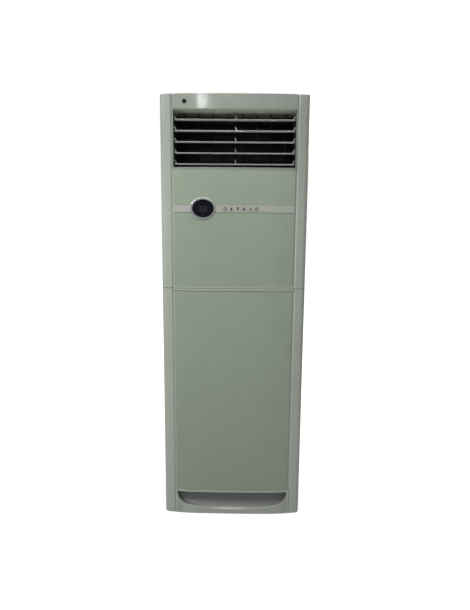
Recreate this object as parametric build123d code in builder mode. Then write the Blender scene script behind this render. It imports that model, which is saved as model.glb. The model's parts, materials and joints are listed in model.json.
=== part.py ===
from build123d import *
import os
from math import asin, cos, degrees, radians, sin, tan

# Floor standing cabinet air conditioner. Millimetres, +Z up, the front faces -Y,
# and the origin lies on the floor in the middle of the footprint.

# ---------------------------------------------------------------- overall sizes
unit_width = 600.0
unit_depth = 360.0
unit_height = 1790.0
bezel_stand = 2.0          # the display ring stands this far proud of the front
screw_head_height = 2.0    # and the rear screws this far behind the rear panel
foot_height = 4.0
skirt_clearance = 2.0      # floor to the lower edge of the plastic skirt

half_width = unit_width / 2
front_y = -unit_depth / 2 + bezel_stand
rear_y = unit_depth / 2 - screw_head_height

# Bow of the whole front, seen from above: a flatter middle and two rounder flanks.
bow_depth = 17.0
bow_mid_half = 145.0
bow_mid_sag = 1.3

# ---------------------------------------------------------------- walls and gaps
sheet = 1.5                # sheet steel of the case
moulding_wall = 3.0        # plastic front mouldings
gloss_thickness = 3.0
fit_gap = 0.3              # between a seated piece and its seat
panel_gap = 0.4            # round the gloss panels
pin_clearance = 0.05       # radial, pins in their bores
shell_depth = 48.0         # front mouldings, from the bow's middle to their back
shell_back_y = front_y + shell_depth
case_front_y = shell_back_y + fit_gap
side_inner_x = half_width - sheet
flange_width = 15.0
rib_depth = 1.5               # ribs pressed into the rear panel

case_mid_y = (case_front_y + rear_y) / 2
inner_front_y = case_front_y + sheet
inner_rear_y = rear_y - sheet - rib_depth - fit_gap
inner_mid_y = (inner_front_y + inner_rear_y) / 2
inner_depth = inner_rear_y - inner_front_y

# ---------------------------------------------------------------- heights of the front
header_height = 56.0       # above the air outlet
outlet_height = 225.0
bar_height = 10.0          # lower bar of the air outlet
upper_panel_space = 139.0  # from that bar down to the control strip
strip_height = 29.0
strip_shadow = 2.0         # dark gap below the strip
middle_panel_space = 312.0 # from the strip down to the seam between the two front mouldings
seam_gap = 1.5
rail_height = 7.0          # light rail above the seam
transom_height = 9.0       # light rail below it
transom_shadow = 3.0       # dark gap between that rail and the lower panel
lip_z = 104.0
lip_height = 9.0

outlet_top_z = unit_height - header_height
outlet_z = outlet_top_z - outlet_height
bar_z = outlet_z - bar_height
strip_top_z = bar_z - upper_panel_space
strip_z = strip_top_z - strip_height
split_z = strip_z - middle_panel_space
upper_z = split_z + seam_gap / 2
lower_top_z = split_z - seam_gap / 2

# ---------------------------------------------------------------- columns and panels
column_width = 50.0
column_round = 20.0
column_bevel_width = 8.0
column_bevel_depth = 5.0
panel_side_gap = 4.0
column_inner_x = half_width - column_width
panel_half = column_inner_x - panel_side_gap
backing_set_back = gloss_thickness + fit_gap
backing_front_y = front_y + backing_set_back
backing_back_y = backing_front_y + moulding_wall

# ---------------------------------------------------------------- display and controls
display_inset = 119.5      # from the left end of the strip
display_rise = 15.5        # above the lower edge of the strip
display_x = -panel_half + display_inset
display_z = strip_z + display_rise
ring_half_width = 51.0
ring_half_height = 43.0
ring_width = 7.0
ring_flange = 4.5
collar_width = 2.5         # collar of the control strip round the display
barrel_half_width = ring_half_width - ring_flange
barrel_half_height = ring_half_height - ring_flange
collar_half_width = barrel_half_width + fit_gap + collar_width
collar_half_height = barrel_half_height + fit_gap + collar_width
lens_thickness = 2.5
module_width = 70.0
module_height = 56.0
module_depth = 12.0
button_count = 6
button_pitch = 25.6
button_start = 90.2        # from the display's middle to the first button
button_first_x = display_x + button_start
button_width = 15.0
button_height = 14.0
button_round = 2.0
button_stand = 0.9
button_travel = 1.2
button_cap_depth = 2.4
stem_radius = 2.5
board_thickness = 1.6
board_margin = 14.0
board_height = 44.0
switch_size = 6.0
switch_height = 4.0
stem_length = 8.0
receiver_inset = 100.0
receiver_drop = 29.0
receiver_x = -half_width + receiver_inset
receiver_z = unit_height - receiver_drop
receiver_radius = 9.0

# ---------------------------------------------------------------- air outlet
outlet_jamb = 4.0          # between the opening and the column beside it
outlet_half = column_inner_x - outlet_jamb
louver_count = 5
louver_top_margin = 26.0   # outlet's top edge down to the first pivot axis
louver_end_margin = 27.0   # outlet's lower edge up to the last pivot axis
louver_set_back = 24.0
louver_pivot_y = front_y + louver_set_back
louver_end_gap = 6.5
blade_chord = 50.0
blade_nose = 5.5
blade_tail = 1.8
blade_tilt = 6.0
pivot_rise = 14.0
pivot_back = 12.0
ear_width = 8.0
ear_depth = 10.0
ear_top = 5.0
louver_pin_radius = 2.5
louver_pin_depth = 3.2
tab_thickness = 3.0
tab_top = 4.0
tab_flare = 4.0
tab_depth = 8.0
comb_thickness = 3.0
comb_spine_depth = 6.0
comb_arm_reach = 46.0
comb_arm_radius = 3.0
comb_arm_slope = 18.0
peg_radius = 1.5
side_play = 0.4

duct_wall = 2.0
duct_length = 120.0
deflector_wall = 3.0       # curved plate that turns the rising air into the duct
deflector_lead = 34.1      # level run between the duct and the turn
deflector_leg = 250.0
vane_count = 8
vane_margin = 36.0         # from the opening's side to the outer vanes
vane_pitch = 2 * (outlet_half - vane_margin) / (vane_count - 1)
vane_chord = 44.0
vane_thickness = 2.4
vane_end_gap = 4.0
vane_set_back = 57.7
vane_pivot_y = case_front_y + vane_set_back
vane_pin_radius = 2.0
vane_pin_reach = 1.5       # past the duct's floor and roof
crank_radius = 18.0
crank_pin_radius = 1.5
notch_height = 12.0
notch_depth = 10.0
notch_rise = 27.0
link_thickness = 3.0
link_width = 7.0
stepper_radius = 14.0
stepper_height = 20.0
stepper_lug = 42.0
drive_shaft_length = 10.0

# ---------------------------------------------------------------- inside the case
partition_z = 620.0
blower_x = -16.0
blower_z = 300.0
blower_depth = 140.0
motor_space = 34.7         # behind the fan housing
blower_front_y = inner_rear_y - motor_space - blower_depth
blower_wall = 2.5
scroll_start_radius = 160.0
scroll_step = 16.0
outlet_left = 45.0         # from the wheel's axis to the inner wall of the scroll's neck
neck_gap = 5.0             # between the neck's inner walls and the edge of the plates round it
inlet_radius = 112.0
bell_radius = 14.0
wheel_radius = 145.0
wheel_inner_radius = 122.0
wheel_width = 108.0
wheel_gap = 12.0
wheel_disc = 2.0
wheel_blades = 32
wheel_blade_thickness = 1.6
wheel_blade_sweep = 12.0
wheel_blade_bulge = 1.0
wheel_ring = 4.0
hub_radius = 16.0
hub_length = 30.0
shaft_radius = 6.0
motor_radius = 52.0
motor_length = 46.0
motor_opening_radius = 58.0
motor_gap = 3.0
bracket_radius = 84.0
bracket_thickness = 2.0

coil_side_space = 60.0     # room for bends and pipes beside the coil
coil_width = 2 * (half_width - coil_side_space)
coil_length = 620.0
coil_thickness = 45.0
coil_foot_space = 56.2     # in front of the coil's foot
coil_end_space = 101.0     # depth of the case that the leaning coil leaves free
coil_foot_y = inner_front_y + coil_foot_space
coil_slope = degrees(asin((inner_depth - coil_end_space) / coil_length))
fin_count = 41
fin_thickness = 1.5
coil_cap = 2.0
end_plate = 1.5
end_plate_lip = 8.0
tube_radius = 5.0
bend_radius = 12.7
bend_stub = 6.0
bend_count = 8
bend_pitch = 60.0
bend_first = 60.0
bend_row = 11.0
drain_rise = 70.0          # above the partition
drain_z = partition_z + drain_rise
drain_height = 34.0
drain_depth = 106.2
drain_wall = 2.5
spigot_radius = 9.0
spigot_bore = 6.5
spigot_length = 26.0
spigot_inset = 38.0
spigot_set_back = 28.2
spigot_x = -half_width + spigot_inset
spigot_y = inner_front_y + spigot_set_back
gas_radius = 8.0
liquid_radius = 4.8
gas_inset = 20.0
liquid_inset = 44.0
pipe_inset = 32.0          # in front of the rear panel
gas_x = half_width - gas_inset
liquid_x = half_width - liquid_inset
pipe_y = rear_y - pipe_inset
gas_end_z = 300.0
liquid_end_z = 240.0
gas_drop = 45.0            # from the coil's top end to where each pipe joins it
liquid_drop = 72.0
gas_height = coil_length - gas_drop
liquid_height = coil_length - liquid_drop
pipe_bend = 14.0
nut_wall = 4.0
nut_height = 22.0
union_length = 18.0

electric_width = 145.0
electric_depth = 66.0
electric_height = 150.0
electric_inset = 95.0
electric_x = half_width - electric_inset

window_height = 450.0
window_z = 150.0
window_front_space = 53.2
window_rear_space = 59.7
window_front_y = inner_front_y + window_front_space
window_width = inner_depth - window_front_space - window_rear_space
grille_border = 14.0
grille_depth = 8.0
slat_count = 14
slat_thickness = 2.0
slat_tilt = 35.0
filter_depth = 7.0
filter_border = 10.0
filter_mesh = 1.0
filter_ribs = 3

pan_height = 30.0
foot_radius = 20.0
foot_inset_x = 90.0
foot_inset_y = 34.0
knockout_gap = 4.0         # round the pipes and the drain hose, in the floor
cover_height = 25.0
cover_wall = 2.5
cover_round = 6.0
scoop_jamb = 5.0           # between the recess and the column beside it
scoop_flare = 55.0         # how much narrower the recess is at its corners
scoop_half = column_inner_x - scoop_jamb
scoop_low_half = scoop_half - scoop_flare
scoop_low_z = 23.0
scoop_corner_z = 40.0
scoop_rim = 2.0
scoop_depth = 40.0

anchor_inset = 120.0
anchor_drop = 90.0
anchor_spacing = unit_width - 2 * anchor_inset
anchor_radius = 4.0
anchor_z = unit_height - anchor_drop
port_inset = 130.0
port_x = half_width - port_inset
port_z = 200.0
port_radius = 38.0
port_bore = 32.0
grommet_length = 11.0
screw_rows = 5
screw_radius = 1.8
screw_head_radius = 4.0
screw_length = 7.0
rib_width = 40.0
rib_margin = 120.0
rib_x = 100.0

os.makedirs("parts", exist_ok=True)


# ---------------------------------------------------------------- shared profiles
def front_plane(y):
    """Plane at depth y that faces the front: local x to the right, local y up."""
    return Plane(origin=(0, y, 0), x_dir=(1, 0, 0), z_dir=(0, -1, 0))


def side_plane(x):
    """Plane at x that faces the right side: local x to the back, local y up."""
    return Plane(origin=(x, 0, 0), x_dir=(0, 1, 0), z_dir=(1, 0, 0))


def bow_line(y):
    """Bowed line across the full width whose middle lies at depth y."""
    with BuildLine() as line:
        middle = ThreePointArc(
            (-bow_mid_half, y + bow_mid_sag), (0, y), (bow_mid_half, y + bow_mid_sag)
        )
        TangentArc(middle @ 1, (half_width, y + bow_depth), tangent=middle % 1)
        TangentArc(middle @ 0, (-half_width, y + bow_depth), tangent=(middle % 0) * -1)
    return line.line


def bowed_block(set_back, back_y, half):
    """Plan between the bowed front, moved back by set_back, and a flat back."""
    side_y = front_y + set_back + bow_depth
    with BuildSketch() as plan:
        with BuildLine():
            add(bow_line(front_y + set_back))
            Polyline(
                (half_width, side_y), (half_width, back_y), (-half_width, back_y), (-half_width, side_y)
            )
        make_face()
        Rectangle(2 * half, 2 * unit_depth, mode=Mode.INTERSECT)
    return plan.sketch


def bowed_sheet(set_back, thickness, half):
    """Plan of a sheet that follows the bow."""
    front = front_y + set_back
    with BuildSketch() as plan:
        with BuildLine():
            add(bow_line(front))
            add(bow_line(front + thickness))
            for x in (-half_width, half_width):
                Line((x, front + bow_depth), (x, front + thickness + bow_depth))
        make_face()
        Rectangle(2 * half, 2 * unit_depth, mode=Mode.INTERSECT)
    return plan.sketch


def column_outline():
    """Right column in plan: rounded outer corner, bevelled inner corner."""
    with BuildSketch() as plan:
        add(bowed_block(0, shell_back_y, half_width))
        with Locations((half_width - column_width / 2, 0)):
            Rectangle(column_width, 2 * unit_depth, mode=Mode.INTERSECT)
        outer = plan.vertices().group_by(Axis.X)[-1].sort_by(Axis.Y)[0]
        fillet(outer, radius=column_round)
        inner_wall = plan.edges().filter_by(Axis.Y).sort_by(Axis.X)[0]
        inner = plan.vertices().group_by(Axis.X)[0].sort_by(Axis.Y)[0]
        chamfer(inner, length=column_bevel_depth, length2=column_bevel_width, reference=inner_wall)
    return plan.sketch


def column_hollow():
    """Space inside the right column, open to the back."""
    with BuildSketch() as plan:
        add(column_outline())
        offset(amount=-moulding_wall, mode=Mode.REPLACE)
        with Locations((half_width - column_width / 2, shell_back_y - moulding_wall)):
            Rectangle(column_width - 2 * moulding_wall, 4 * moulding_wall)
    return plan.sketch


def oval(half_x, half_z):
    """Oval about the display's middle, in the plane of the front."""
    with BuildSketch() as plan:
        with Locations((display_x, display_z)):
            Ellipse(half_x, half_z)
    return plan.sketch


def scoop_mouth(grow):
    """Rounded U of the recess at the foot, seen from the front and grown by a wall."""
    with BuildSketch() as mouth:
        with BuildLine():
            low = ThreePointArc(
                (-scoop_low_half, scoop_corner_z - grow),
                (0, scoop_low_z - grow),
                (scoop_low_half, scoop_corner_z - grow),
            )
            right = TangentArc(low @ 1, (scoop_half + grow, lip_z + grow), tangent=low % 1)
            left = TangentArc(low @ 0, (-scoop_half - grow, lip_z + grow), tangent=(low % 0) * -1)
            Line(right @ 1, left @ 1)
        make_face()
    return mouth.sketch


def scoop_side(grow):
    """The recess seen from the side: its back rises from the rim and goes in under the lip."""
    rim_y = front_y + scoop_rim + grow
    deep_y = front_y + scoop_depth + grow
    low_z = scoop_low_z - grow
    high_z = lip_z + grow
    with BuildSketch() as side:
        with BuildLine():
            ThreePointArc(
                (rim_y, low_z),
                (rim_y + 0.72 * (deep_y - rim_y), low_z + 0.34 * (high_z - low_z)),
                (deep_y, high_z),
            )
            Polyline(
                (deep_y, high_z),
                (front_y - shell_depth, high_z),
                (front_y - shell_depth, low_z),
                (rim_y, low_z),
            )
        make_face()
    return side.sketch


def tapered_hull(start, start_radius, end, end_radius):
    """Outline round two circles, such as a blade's section or an arm."""
    with BuildSketch() as outline:
        with Locations(start):
            Circle(start_radius)
        with Locations(end):
            Circle(end_radius)
        make_hull()
    return outline.sketch


def mid_sag(x):
    """How far the front lies behind its middle at x, between the flanks."""
    return bow_mid_sag * (x / bow_mid_half) ** 2


def finish(piece, name):
    piece.part.label = name
    export_step(piece.part, "parts/" + name + ".step")


# ================================================================ case
with BuildPart() as base_pan:
    with BuildSketch(Plane.XY.offset(foot_height)):
        with Locations((0, inner_mid_y)):
            Rectangle(2 * side_inner_x, inner_depth)
    extrude(amount=pan_height)
    with BuildSketch(Plane.XY.offset(foot_height + sheet)):
        with Locations((0, inner_mid_y)):
            Rectangle(2 * (side_inner_x - sheet), inner_depth - 2 * sheet)
    extrude(amount=pan_height, mode=Mode.SUBTRACT)
    pipe_way = 2 * (gas_radius + nut_wall / 2 + knockout_gap)
    with BuildSketch(Plane.XY.offset(foot_height)):
        with Locations(((gas_x + liquid_x) / 2, pipe_y)):
            SlotOverall(gas_x - liquid_x + pipe_way, pipe_way)
        with Locations((spigot_x, spigot_y)):
            Circle(spigot_radius + knockout_gap)
    extrude(amount=sheet, mode=Mode.SUBTRACT)
finish(base_pan, "base_pan")

with BuildPart() as rubber_feet:
    with BuildSketch():
        with Locations((0, inner_mid_y)):
            with GridLocations(unit_width - 2 * foot_inset_x, inner_depth - 2 * foot_inset_y, 2, 2):
                Circle(foot_radius)
    extrude(amount=foot_height)
finish(rubber_feet, "rubber_feet")

side_top_z = unit_height - cover_height
screw_low_z = foot_height + pan_height + 2 * screw_head_radius
screw_step = (side_top_z - pan_height - screw_low_z) / (screw_rows - 1)
screw_zs = [screw_low_z + screw_step * i for i in range(screw_rows)]
screw_x = side_inner_x - flange_width * 0.6
screw_points = [(side * screw_x, z) for side in (-1, 1) for z in screw_zs]
flange_y = rear_y - 2 * sheet

with BuildPart() as right_side_panel:
    with BuildSketch(Plane.XY.offset(foot_height)):
        with BuildLine():
            Polyline(
                (side_inner_x - flange_width, case_front_y),
                (half_width, case_front_y),
                (half_width, rear_y),
                (side_inner_x, rear_y),
                (side_inner_x, rear_y - sheet),
                (side_inner_x - flange_width, rear_y - sheet),
                (side_inner_x - flange_width, flange_y),
                (side_inner_x, flange_y),
                (side_inner_x, case_front_y + sheet),
                (side_inner_x - flange_width, case_front_y + sheet),
                close=True,
            )
        make_face()
    extrude(amount=side_top_z - foot_height)
    with BuildSketch(side_plane(side_inner_x - sheet)):
        with Locations((window_front_y + window_width / 2, window_z + window_height / 2)):
            RectangleRounded(window_width, window_height, grille_border / 2)
    extrude(amount=3 * sheet, mode=Mode.SUBTRACT)
    with BuildSketch(front_plane(rear_y)):
        with Locations(*screw_points[screw_rows:]):
            Circle(screw_radius + fit_gap)
    extrude(amount=4 * sheet, mode=Mode.SUBTRACT)
finish(right_side_panel, "right_side_panel")

with BuildPart() as left_side_panel:
    mirror(right_side_panel.part, about=Plane.YZ)
finish(left_side_panel, "left_side_panel")

with BuildPart() as rear_panel:
    with BuildSketch(Plane.XY.offset(foot_height)):
        with Locations((0, rear_y - sheet / 2)):
            Rectangle(2 * (side_inner_x - fit_gap), sheet)
    extrude(amount=side_top_z - foot_height)
    rib_height = side_top_z - 2 * rib_margin
    with BuildSketch(front_plane(rear_y - sheet)):
        with Locations((-rib_x, side_top_z / 2), (rib_x, side_top_z / 2)):
            RectangleRounded(rib_width, rib_height, rib_width / 3)
        with Locations((port_x, port_z)):
            Circle(port_radius + rib_width, mode=Mode.SUBTRACT)
    extrude(amount=rib_depth)
    with BuildSketch(front_plane(rear_y)):
        with Locations((-rib_x, side_top_z / 2), (rib_x, side_top_z / 2)):
            RectangleRounded(rib_width - 2 * sheet, rib_height - 2 * sheet, rib_width / 3 - sheet)
        with Locations((port_x, port_z)):
            Circle(port_radius + rib_width + sheet, mode=Mode.SUBTRACT)
    extrude(amount=rib_depth, mode=Mode.SUBTRACT)
    with BuildSketch(front_plane(rear_y + sheet)):
        with Locations(*screw_points):
            Circle(screw_radius + fit_gap)
        with Locations((-anchor_spacing / 2, anchor_z), (anchor_spacing / 2, anchor_z)):
            Circle(anchor_radius)
        with Locations((port_x, port_z)):
            Circle(port_radius)
    extrude(amount=4 * sheet, mode=Mode.SUBTRACT)
finish(rear_panel, "rear_panel")

with BuildPart() as case_screws:
    with BuildSketch(front_plane(rear_y + screw_head_height)):
        with Locations(*screw_points):
            Circle(screw_head_radius)
    extrude(amount=screw_head_height)
    with BuildSketch(front_plane(rear_y)):
        with Locations(*screw_points):
            Circle(screw_radius)
    extrude(amount=screw_length)
finish(case_screws, "case_screws")

with BuildPart() as pipe_grommet:
    with BuildSketch(front_plane(rear_y + sheet)):
        with Locations((port_x, port_z)):
            Circle(port_radius - fit_gap)
    extrude(amount=grommet_length)
    for plane_y in (rear_y + sheet, rear_y - sheet - fit_gap):
        with BuildSketch(front_plane(plane_y)):
            with Locations((port_x, port_z)):
                Circle(port_radius + 2 * sheet)
        extrude(amount=sheet)
    with BuildSketch(front_plane(rear_y + sheet)):
        with Locations((port_x, port_z)):
            Circle(port_bore)
    extrude(amount=grommet_length, mode=Mode.SUBTRACT)
finish(pipe_grommet, "pipe_grommet")

with BuildPart() as top_cover:
    cover_depth = rear_y - case_front_y
    with BuildSketch(Plane.XY.offset(side_top_z)):
        with Locations((0, case_mid_y)):
            Rectangle(unit_width, cover_depth)
    extrude(amount=cover_height)
    rear_edge = top_cover.edges().filter_by(Axis.X).group_by(Axis.Z)[-1].sort_by(Axis.Y)[-1]
    side_edges = top_cover.edges().filter_by(Axis.Y).group_by(Axis.Z)[-1]
    fillet([rear_edge] + side_edges, radius=cover_round)
    with BuildSketch(Plane.XY.offset(side_top_z)):
        with Locations((0, case_mid_y)):
            Rectangle(unit_width - 2 * cover_wall, cover_depth - 2 * cover_wall)
    extrude(amount=cover_height - cover_wall, mode=Mode.SUBTRACT)
finish(top_cover, "top_cover")

# ================================================================ front mouldings
with BuildPart() as upper_front_frame:
    with BuildSketch(Plane.XY.offset(upper_z)):
        add(column_outline())
    extrude(amount=unit_height - upper_z)
    with BuildSketch(Plane.XY.offset(upper_z)):
        add(column_hollow())
    extrude(amount=unit_height - upper_z - moulding_wall, mode=Mode.SUBTRACT)
    mirror(about=Plane.YZ)
    with BuildSketch(Plane.XY.offset(upper_z)):
        add(bowed_sheet(backing_set_back, moulding_wall, column_inner_x + moulding_wall / 2))
    extrude(amount=bar_z - fit_gap - upper_z)
    with BuildSketch(Plane.XY.offset(upper_z)):
        add(bowed_sheet(0, backing_set_back + moulding_wall, column_inner_x + moulding_wall / 2))
    extrude(amount=rail_height)
    with BuildSketch(front_plane(shell_back_y)):
        add(oval(ring_half_width - ring_width, ring_half_height - ring_width))
    extrude(amount=shell_depth, mode=Mode.SUBTRACT)
    button_z = strip_z + strip_height / 2
    button_xs = [button_first_x + button_pitch * i for i in range(button_count)]
    with BuildSketch(front_plane(shell_back_y)):
        with Locations(*[(x, button_z) for x in button_xs]):
            Circle(stem_radius + 2 * fit_gap)
    extrude(amount=shell_depth, mode=Mode.SUBTRACT)
    board_front_y = backing_back_y + stem_length + switch_height
    board_mid_x = (button_xs[0] + button_xs[-1]) / 2
    board_width = button_xs[-1] - button_xs[0] + 2 * board_margin + button_width
    post_spacing = board_width - board_margin
    post_row = board_height - 2 * switch_size
    with BuildSketch(front_plane(board_front_y)):
        with Locations((board_mid_x, button_z)):
            with GridLocations(post_spacing, post_row, 2, 2):
                Circle(stem_radius)
    extrude(amount=board_front_y - backing_front_y - moulding_wall / 2)
finish(upper_front_frame, "upper_front_frame")

with BuildPart() as outlet_frame:
    frame_half = column_inner_x - fit_gap
    with BuildSketch(Plane.XY.offset(bar_z)):
        add(bowed_block(0, shell_back_y, frame_half))
    extrude(amount=unit_height - bar_z)
    with BuildSketch(front_plane(shell_back_y)):
        with Locations((0, outlet_z + outlet_height / 2)):
            Rectangle(2 * outlet_half, outlet_height)
    extrude(amount=shell_depth, mode=Mode.SUBTRACT)
    with BuildSketch(Plane.XY.offset(outlet_top_z + moulding_wall)):
        add(bowed_block(moulding_wall, shell_back_y, frame_half - moulding_wall))
    extrude(amount=header_height - 2 * moulding_wall, mode=Mode.SUBTRACT)
    with BuildSketch(Plane.XY.offset(bar_z)):
        add(bowed_block(moulding_wall, shell_back_y, frame_half - moulding_wall))
    extrude(amount=bar_height - moulding_wall, mode=Mode.SUBTRACT)
    louver_pitch = (outlet_height - louver_top_margin - louver_end_margin) / (louver_count - 1)
    louver_zs = [outlet_top_z - louver_top_margin - louver_pitch * i for i in range(louver_count)]
    with BuildSketch(side_plane(-half_width)):
        with Locations(*[(louver_pivot_y, z) for z in louver_zs]):
            Circle(louver_pin_radius + pin_clearance)
    extrude(amount=unit_width, mode=Mode.SUBTRACT)
    with BuildSketch(front_plane(shell_back_y)):
        with Locations((receiver_x, receiver_z)):
            Circle(receiver_radius + fit_gap)
    extrude(amount=shell_depth, mode=Mode.SUBTRACT)
finish(outlet_frame, "outlet_frame")

with BuildPart() as ir_receiver_lens:
    receiver_back_y = front_y + bow_depth
    with BuildSketch(front_plane(receiver_back_y)):
        with Locations((receiver_x, receiver_z)):
            Circle(receiver_radius)
    extrude(amount=receiver_back_y - front_y - bow_mid_sag - moulding_wall)
finish(ir_receiver_lens, "ir_receiver_lens")

# The recess at the foot: its space, and the bowl of one wall's thickness round it.
with BuildPart() as scoop_space:
    with BuildSketch(side_plane(-half_width)):
        add(scoop_side(0))
    extrude(amount=unit_width)
    with BuildSketch(front_plane(shell_back_y)):
        add(scoop_mouth(0))
    extrude(amount=2 * shell_depth, mode=Mode.INTERSECT)

with BuildPart() as scoop_wall:
    with BuildSketch(side_plane(-half_width)):
        add(scoop_side(moulding_wall))
    extrude(amount=unit_width)
    with BuildSketch(front_plane(shell_back_y)):
        add(scoop_mouth(moulding_wall))
    extrude(amount=2 * shell_depth, mode=Mode.INTERSECT)
    with BuildSketch():
        add(bowed_block(0, shell_back_y, half_width))
    extrude(amount=split_z, mode=Mode.INTERSECT)

with BuildPart() as lower_front_frame:
    with BuildSketch(Plane.XY.offset(skirt_clearance)):
        add(column_outline())
    extrude(amount=lower_top_z - skirt_clearance)
    with BuildSketch(Plane.XY.offset(skirt_clearance + moulding_wall)):
        add(column_hollow())
    extrude(amount=lower_top_z - skirt_clearance - moulding_wall, mode=Mode.SUBTRACT)
    mirror(about=Plane.YZ)
    with BuildSketch(Plane.XY.offset(lip_z)):
        add(bowed_sheet(backing_set_back, moulding_wall, column_inner_x + moulding_wall / 2))
    extrude(amount=lower_top_z - lip_z)
    with BuildSketch(Plane.XY.offset(lower_top_z - transom_height)):
        add(bowed_sheet(0, backing_set_back + moulding_wall, column_inner_x + moulding_wall / 2))
    extrude(amount=transom_height)
    with BuildSketch(Plane.XY.offset(lip_z)):
        add(bowed_sheet(0, backing_set_back + moulding_wall, column_inner_x + moulding_wall / 2))
    extrude(amount=lip_height)
    # Foot: a skin and a floor, with the recess let in as a bowl below the lip.
    with BuildSketch(Plane.XY.offset(skirt_clearance)):
        add(bowed_sheet(0, moulding_wall, column_inner_x + moulding_wall / 2))
    extrude(amount=lip_z - skirt_clearance)
    with BuildSketch(Plane.XY.offset(skirt_clearance)):
        add(bowed_block(0, shell_back_y, column_inner_x + moulding_wall / 2))
    extrude(amount=moulding_wall)
    add(scoop_wall.part)
    add(scoop_space.part, mode=Mode.SUBTRACT)
finish(lower_front_frame, "lower_front_frame")

# ================================================================ front panels
with BuildPart() as upper_gloss_panel:
    with BuildSketch(Plane.XY.offset(strip_top_z + panel_gap)):
        add(bowed_sheet(0, gloss_thickness, panel_half))
    extrude(amount=bar_z - strip_top_z - 2 * panel_gap)
    with BuildSketch(front_plane(shell_back_y)):
        add(oval(collar_half_width + panel_gap, collar_half_height + panel_gap))
    extrude(amount=2 * shell_depth, mode=Mode.SUBTRACT)
finish(upper_gloss_panel, "upper_gloss_panel")

with BuildPart() as middle_gloss_panel:
    with BuildSketch(Plane.XY.offset(upper_z + rail_height + panel_gap)):
        add(bowed_sheet(0, gloss_thickness, panel_half))
    extrude(amount=strip_z - strip_shadow - upper_z - rail_height - panel_gap)
    with BuildSketch(front_plane(shell_back_y)):
        add(oval(collar_half_width + panel_gap, collar_half_height + panel_gap))
    extrude(amount=2 * shell_depth, mode=Mode.SUBTRACT)
finish(middle_gloss_panel, "middle_gloss_panel")

with BuildPart() as lower_gloss_panel:
    with BuildSketch(Plane.XY.offset(lip_z + lip_height + panel_gap)):
        add(bowed_sheet(0, gloss_thickness, panel_half))
    extrude(amount=lower_top_z - transom_height - transom_shadow - lip_z - lip_height - panel_gap)
finish(lower_gloss_panel, "lower_gloss_panel")

with BuildPart() as strip_collar:
    with BuildSketch(front_plane(shell_back_y)):
        add(oval(collar_half_width, collar_half_height))
    extrude(amount=2 * shell_depth)
    with BuildSketch(Plane.XY.offset(display_z - 2 * ring_half_height)):
        add(bowed_sheet(0, gloss_thickness, panel_half))
    extrude(amount=4 * ring_half_height, mode=Mode.INTERSECT)

with BuildPart() as control_strip:
    with BuildSketch(Plane.XY.offset(strip_z)):
        add(bowed_sheet(0, gloss_thickness, panel_half))
    extrude(amount=strip_height)
    add(strip_collar.part)
    with BuildSketch(front_plane(shell_back_y)):
        add(oval(barrel_half_width + fit_gap, barrel_half_height + fit_gap))
        with Locations(*[(x, button_z) for x in button_xs]):
            RectangleRounded(button_width + 2 * fit_gap, button_height + 2 * fit_gap, button_round + fit_gap)
    extrude(amount=2 * shell_depth, mode=Mode.SUBTRACT)
finish(control_strip, "control_strip")

with BuildPart() as display_bezel:
    with BuildSketch(front_plane(front_y - fit_gap)):
        add(oval(ring_half_width, ring_half_height))
    extrude(amount=bezel_stand - fit_gap)
    fillet(display_bezel.faces().sort_by(Axis.Y)[0].edges(), radius=bezel_stand / 2)
    with BuildSketch(front_plane(backing_front_y)):
        add(oval(barrel_half_width, barrel_half_height))
    extrude(amount=backing_set_back - fit_gap + bezel_stand / 2)
    with BuildSketch(front_plane(shell_back_y)):
        add(oval(ring_half_width - ring_width, ring_half_height - ring_width))
    extrude(amount=2 * shell_depth, mode=Mode.SUBTRACT)
finish(display_bezel, "display_bezel")

lens_front_y = front_y - bezel_stand / 2
lens_back_y = lens_front_y + lens_thickness
with BuildPart() as display_lens:
    with BuildSketch(front_plane(lens_back_y)):
        add(oval(ring_half_width - ring_width - fit_gap, ring_half_height - ring_width - fit_gap))
    extrude(amount=lens_thickness)
finish(display_lens, "display_lens")

with BuildPart() as display_module:
    carrier_back_y = backing_back_y + moulding_wall
    with BuildSketch(front_plane(carrier_back_y)):
        add(oval(ring_half_width - ring_width - fit_gap, ring_half_height - ring_width - fit_gap))
    extrude(amount=carrier_back_y - lens_back_y - fit_gap)
    with BuildSketch(front_plane(carrier_back_y + board_thickness)):
        with Locations((display_x, display_z)):
            Rectangle(2 * ring_half_width, 2 * ring_half_height)
    extrude(amount=board_thickness)
    with BuildSketch(front_plane(carrier_back_y + board_thickness + module_depth)):
        with Locations((display_x, display_z)):
            Rectangle(module_width, module_height)
    extrude(amount=module_depth)
finish(display_module, "display_module")

with BuildPart() as control_board:
    with BuildSketch(front_plane(board_front_y + board_thickness)):
        with Locations((board_mid_x, button_z)):
            Rectangle(board_width, board_height)
    extrude(amount=board_thickness)
    with BuildSketch(front_plane(board_front_y)):
        with Locations(*[(x, button_z) for x in button_xs]):
            Rectangle(switch_size, switch_size)
    extrude(amount=switch_height)
finish(control_board, "control_board")

for number, x in enumerate(button_xs, start=1):
    cap_front_y = front_y + mid_sag(x) - button_stand
    cap_back_y = cap_front_y + button_cap_depth
    stem_back_y = board_front_y - switch_height - button_travel - pin_clearance
    with BuildPart() as button:
        with BuildSketch(front_plane(cap_back_y)):
            with Locations((x, button_z)):
                RectangleRounded(button_width, button_height, button_round)
        extrude(amount=button_cap_depth)
        fillet(button.faces().sort_by(Axis.Y)[0].edges(), radius=button_stand / 2)
        with BuildSketch(front_plane(stem_back_y)):
            with Locations((x, button_z)):
                Circle(stem_radius)
        extrude(amount=stem_back_y - cap_back_y + button_cap_depth / 2)
    finish(button, f"button_{number}")

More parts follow.
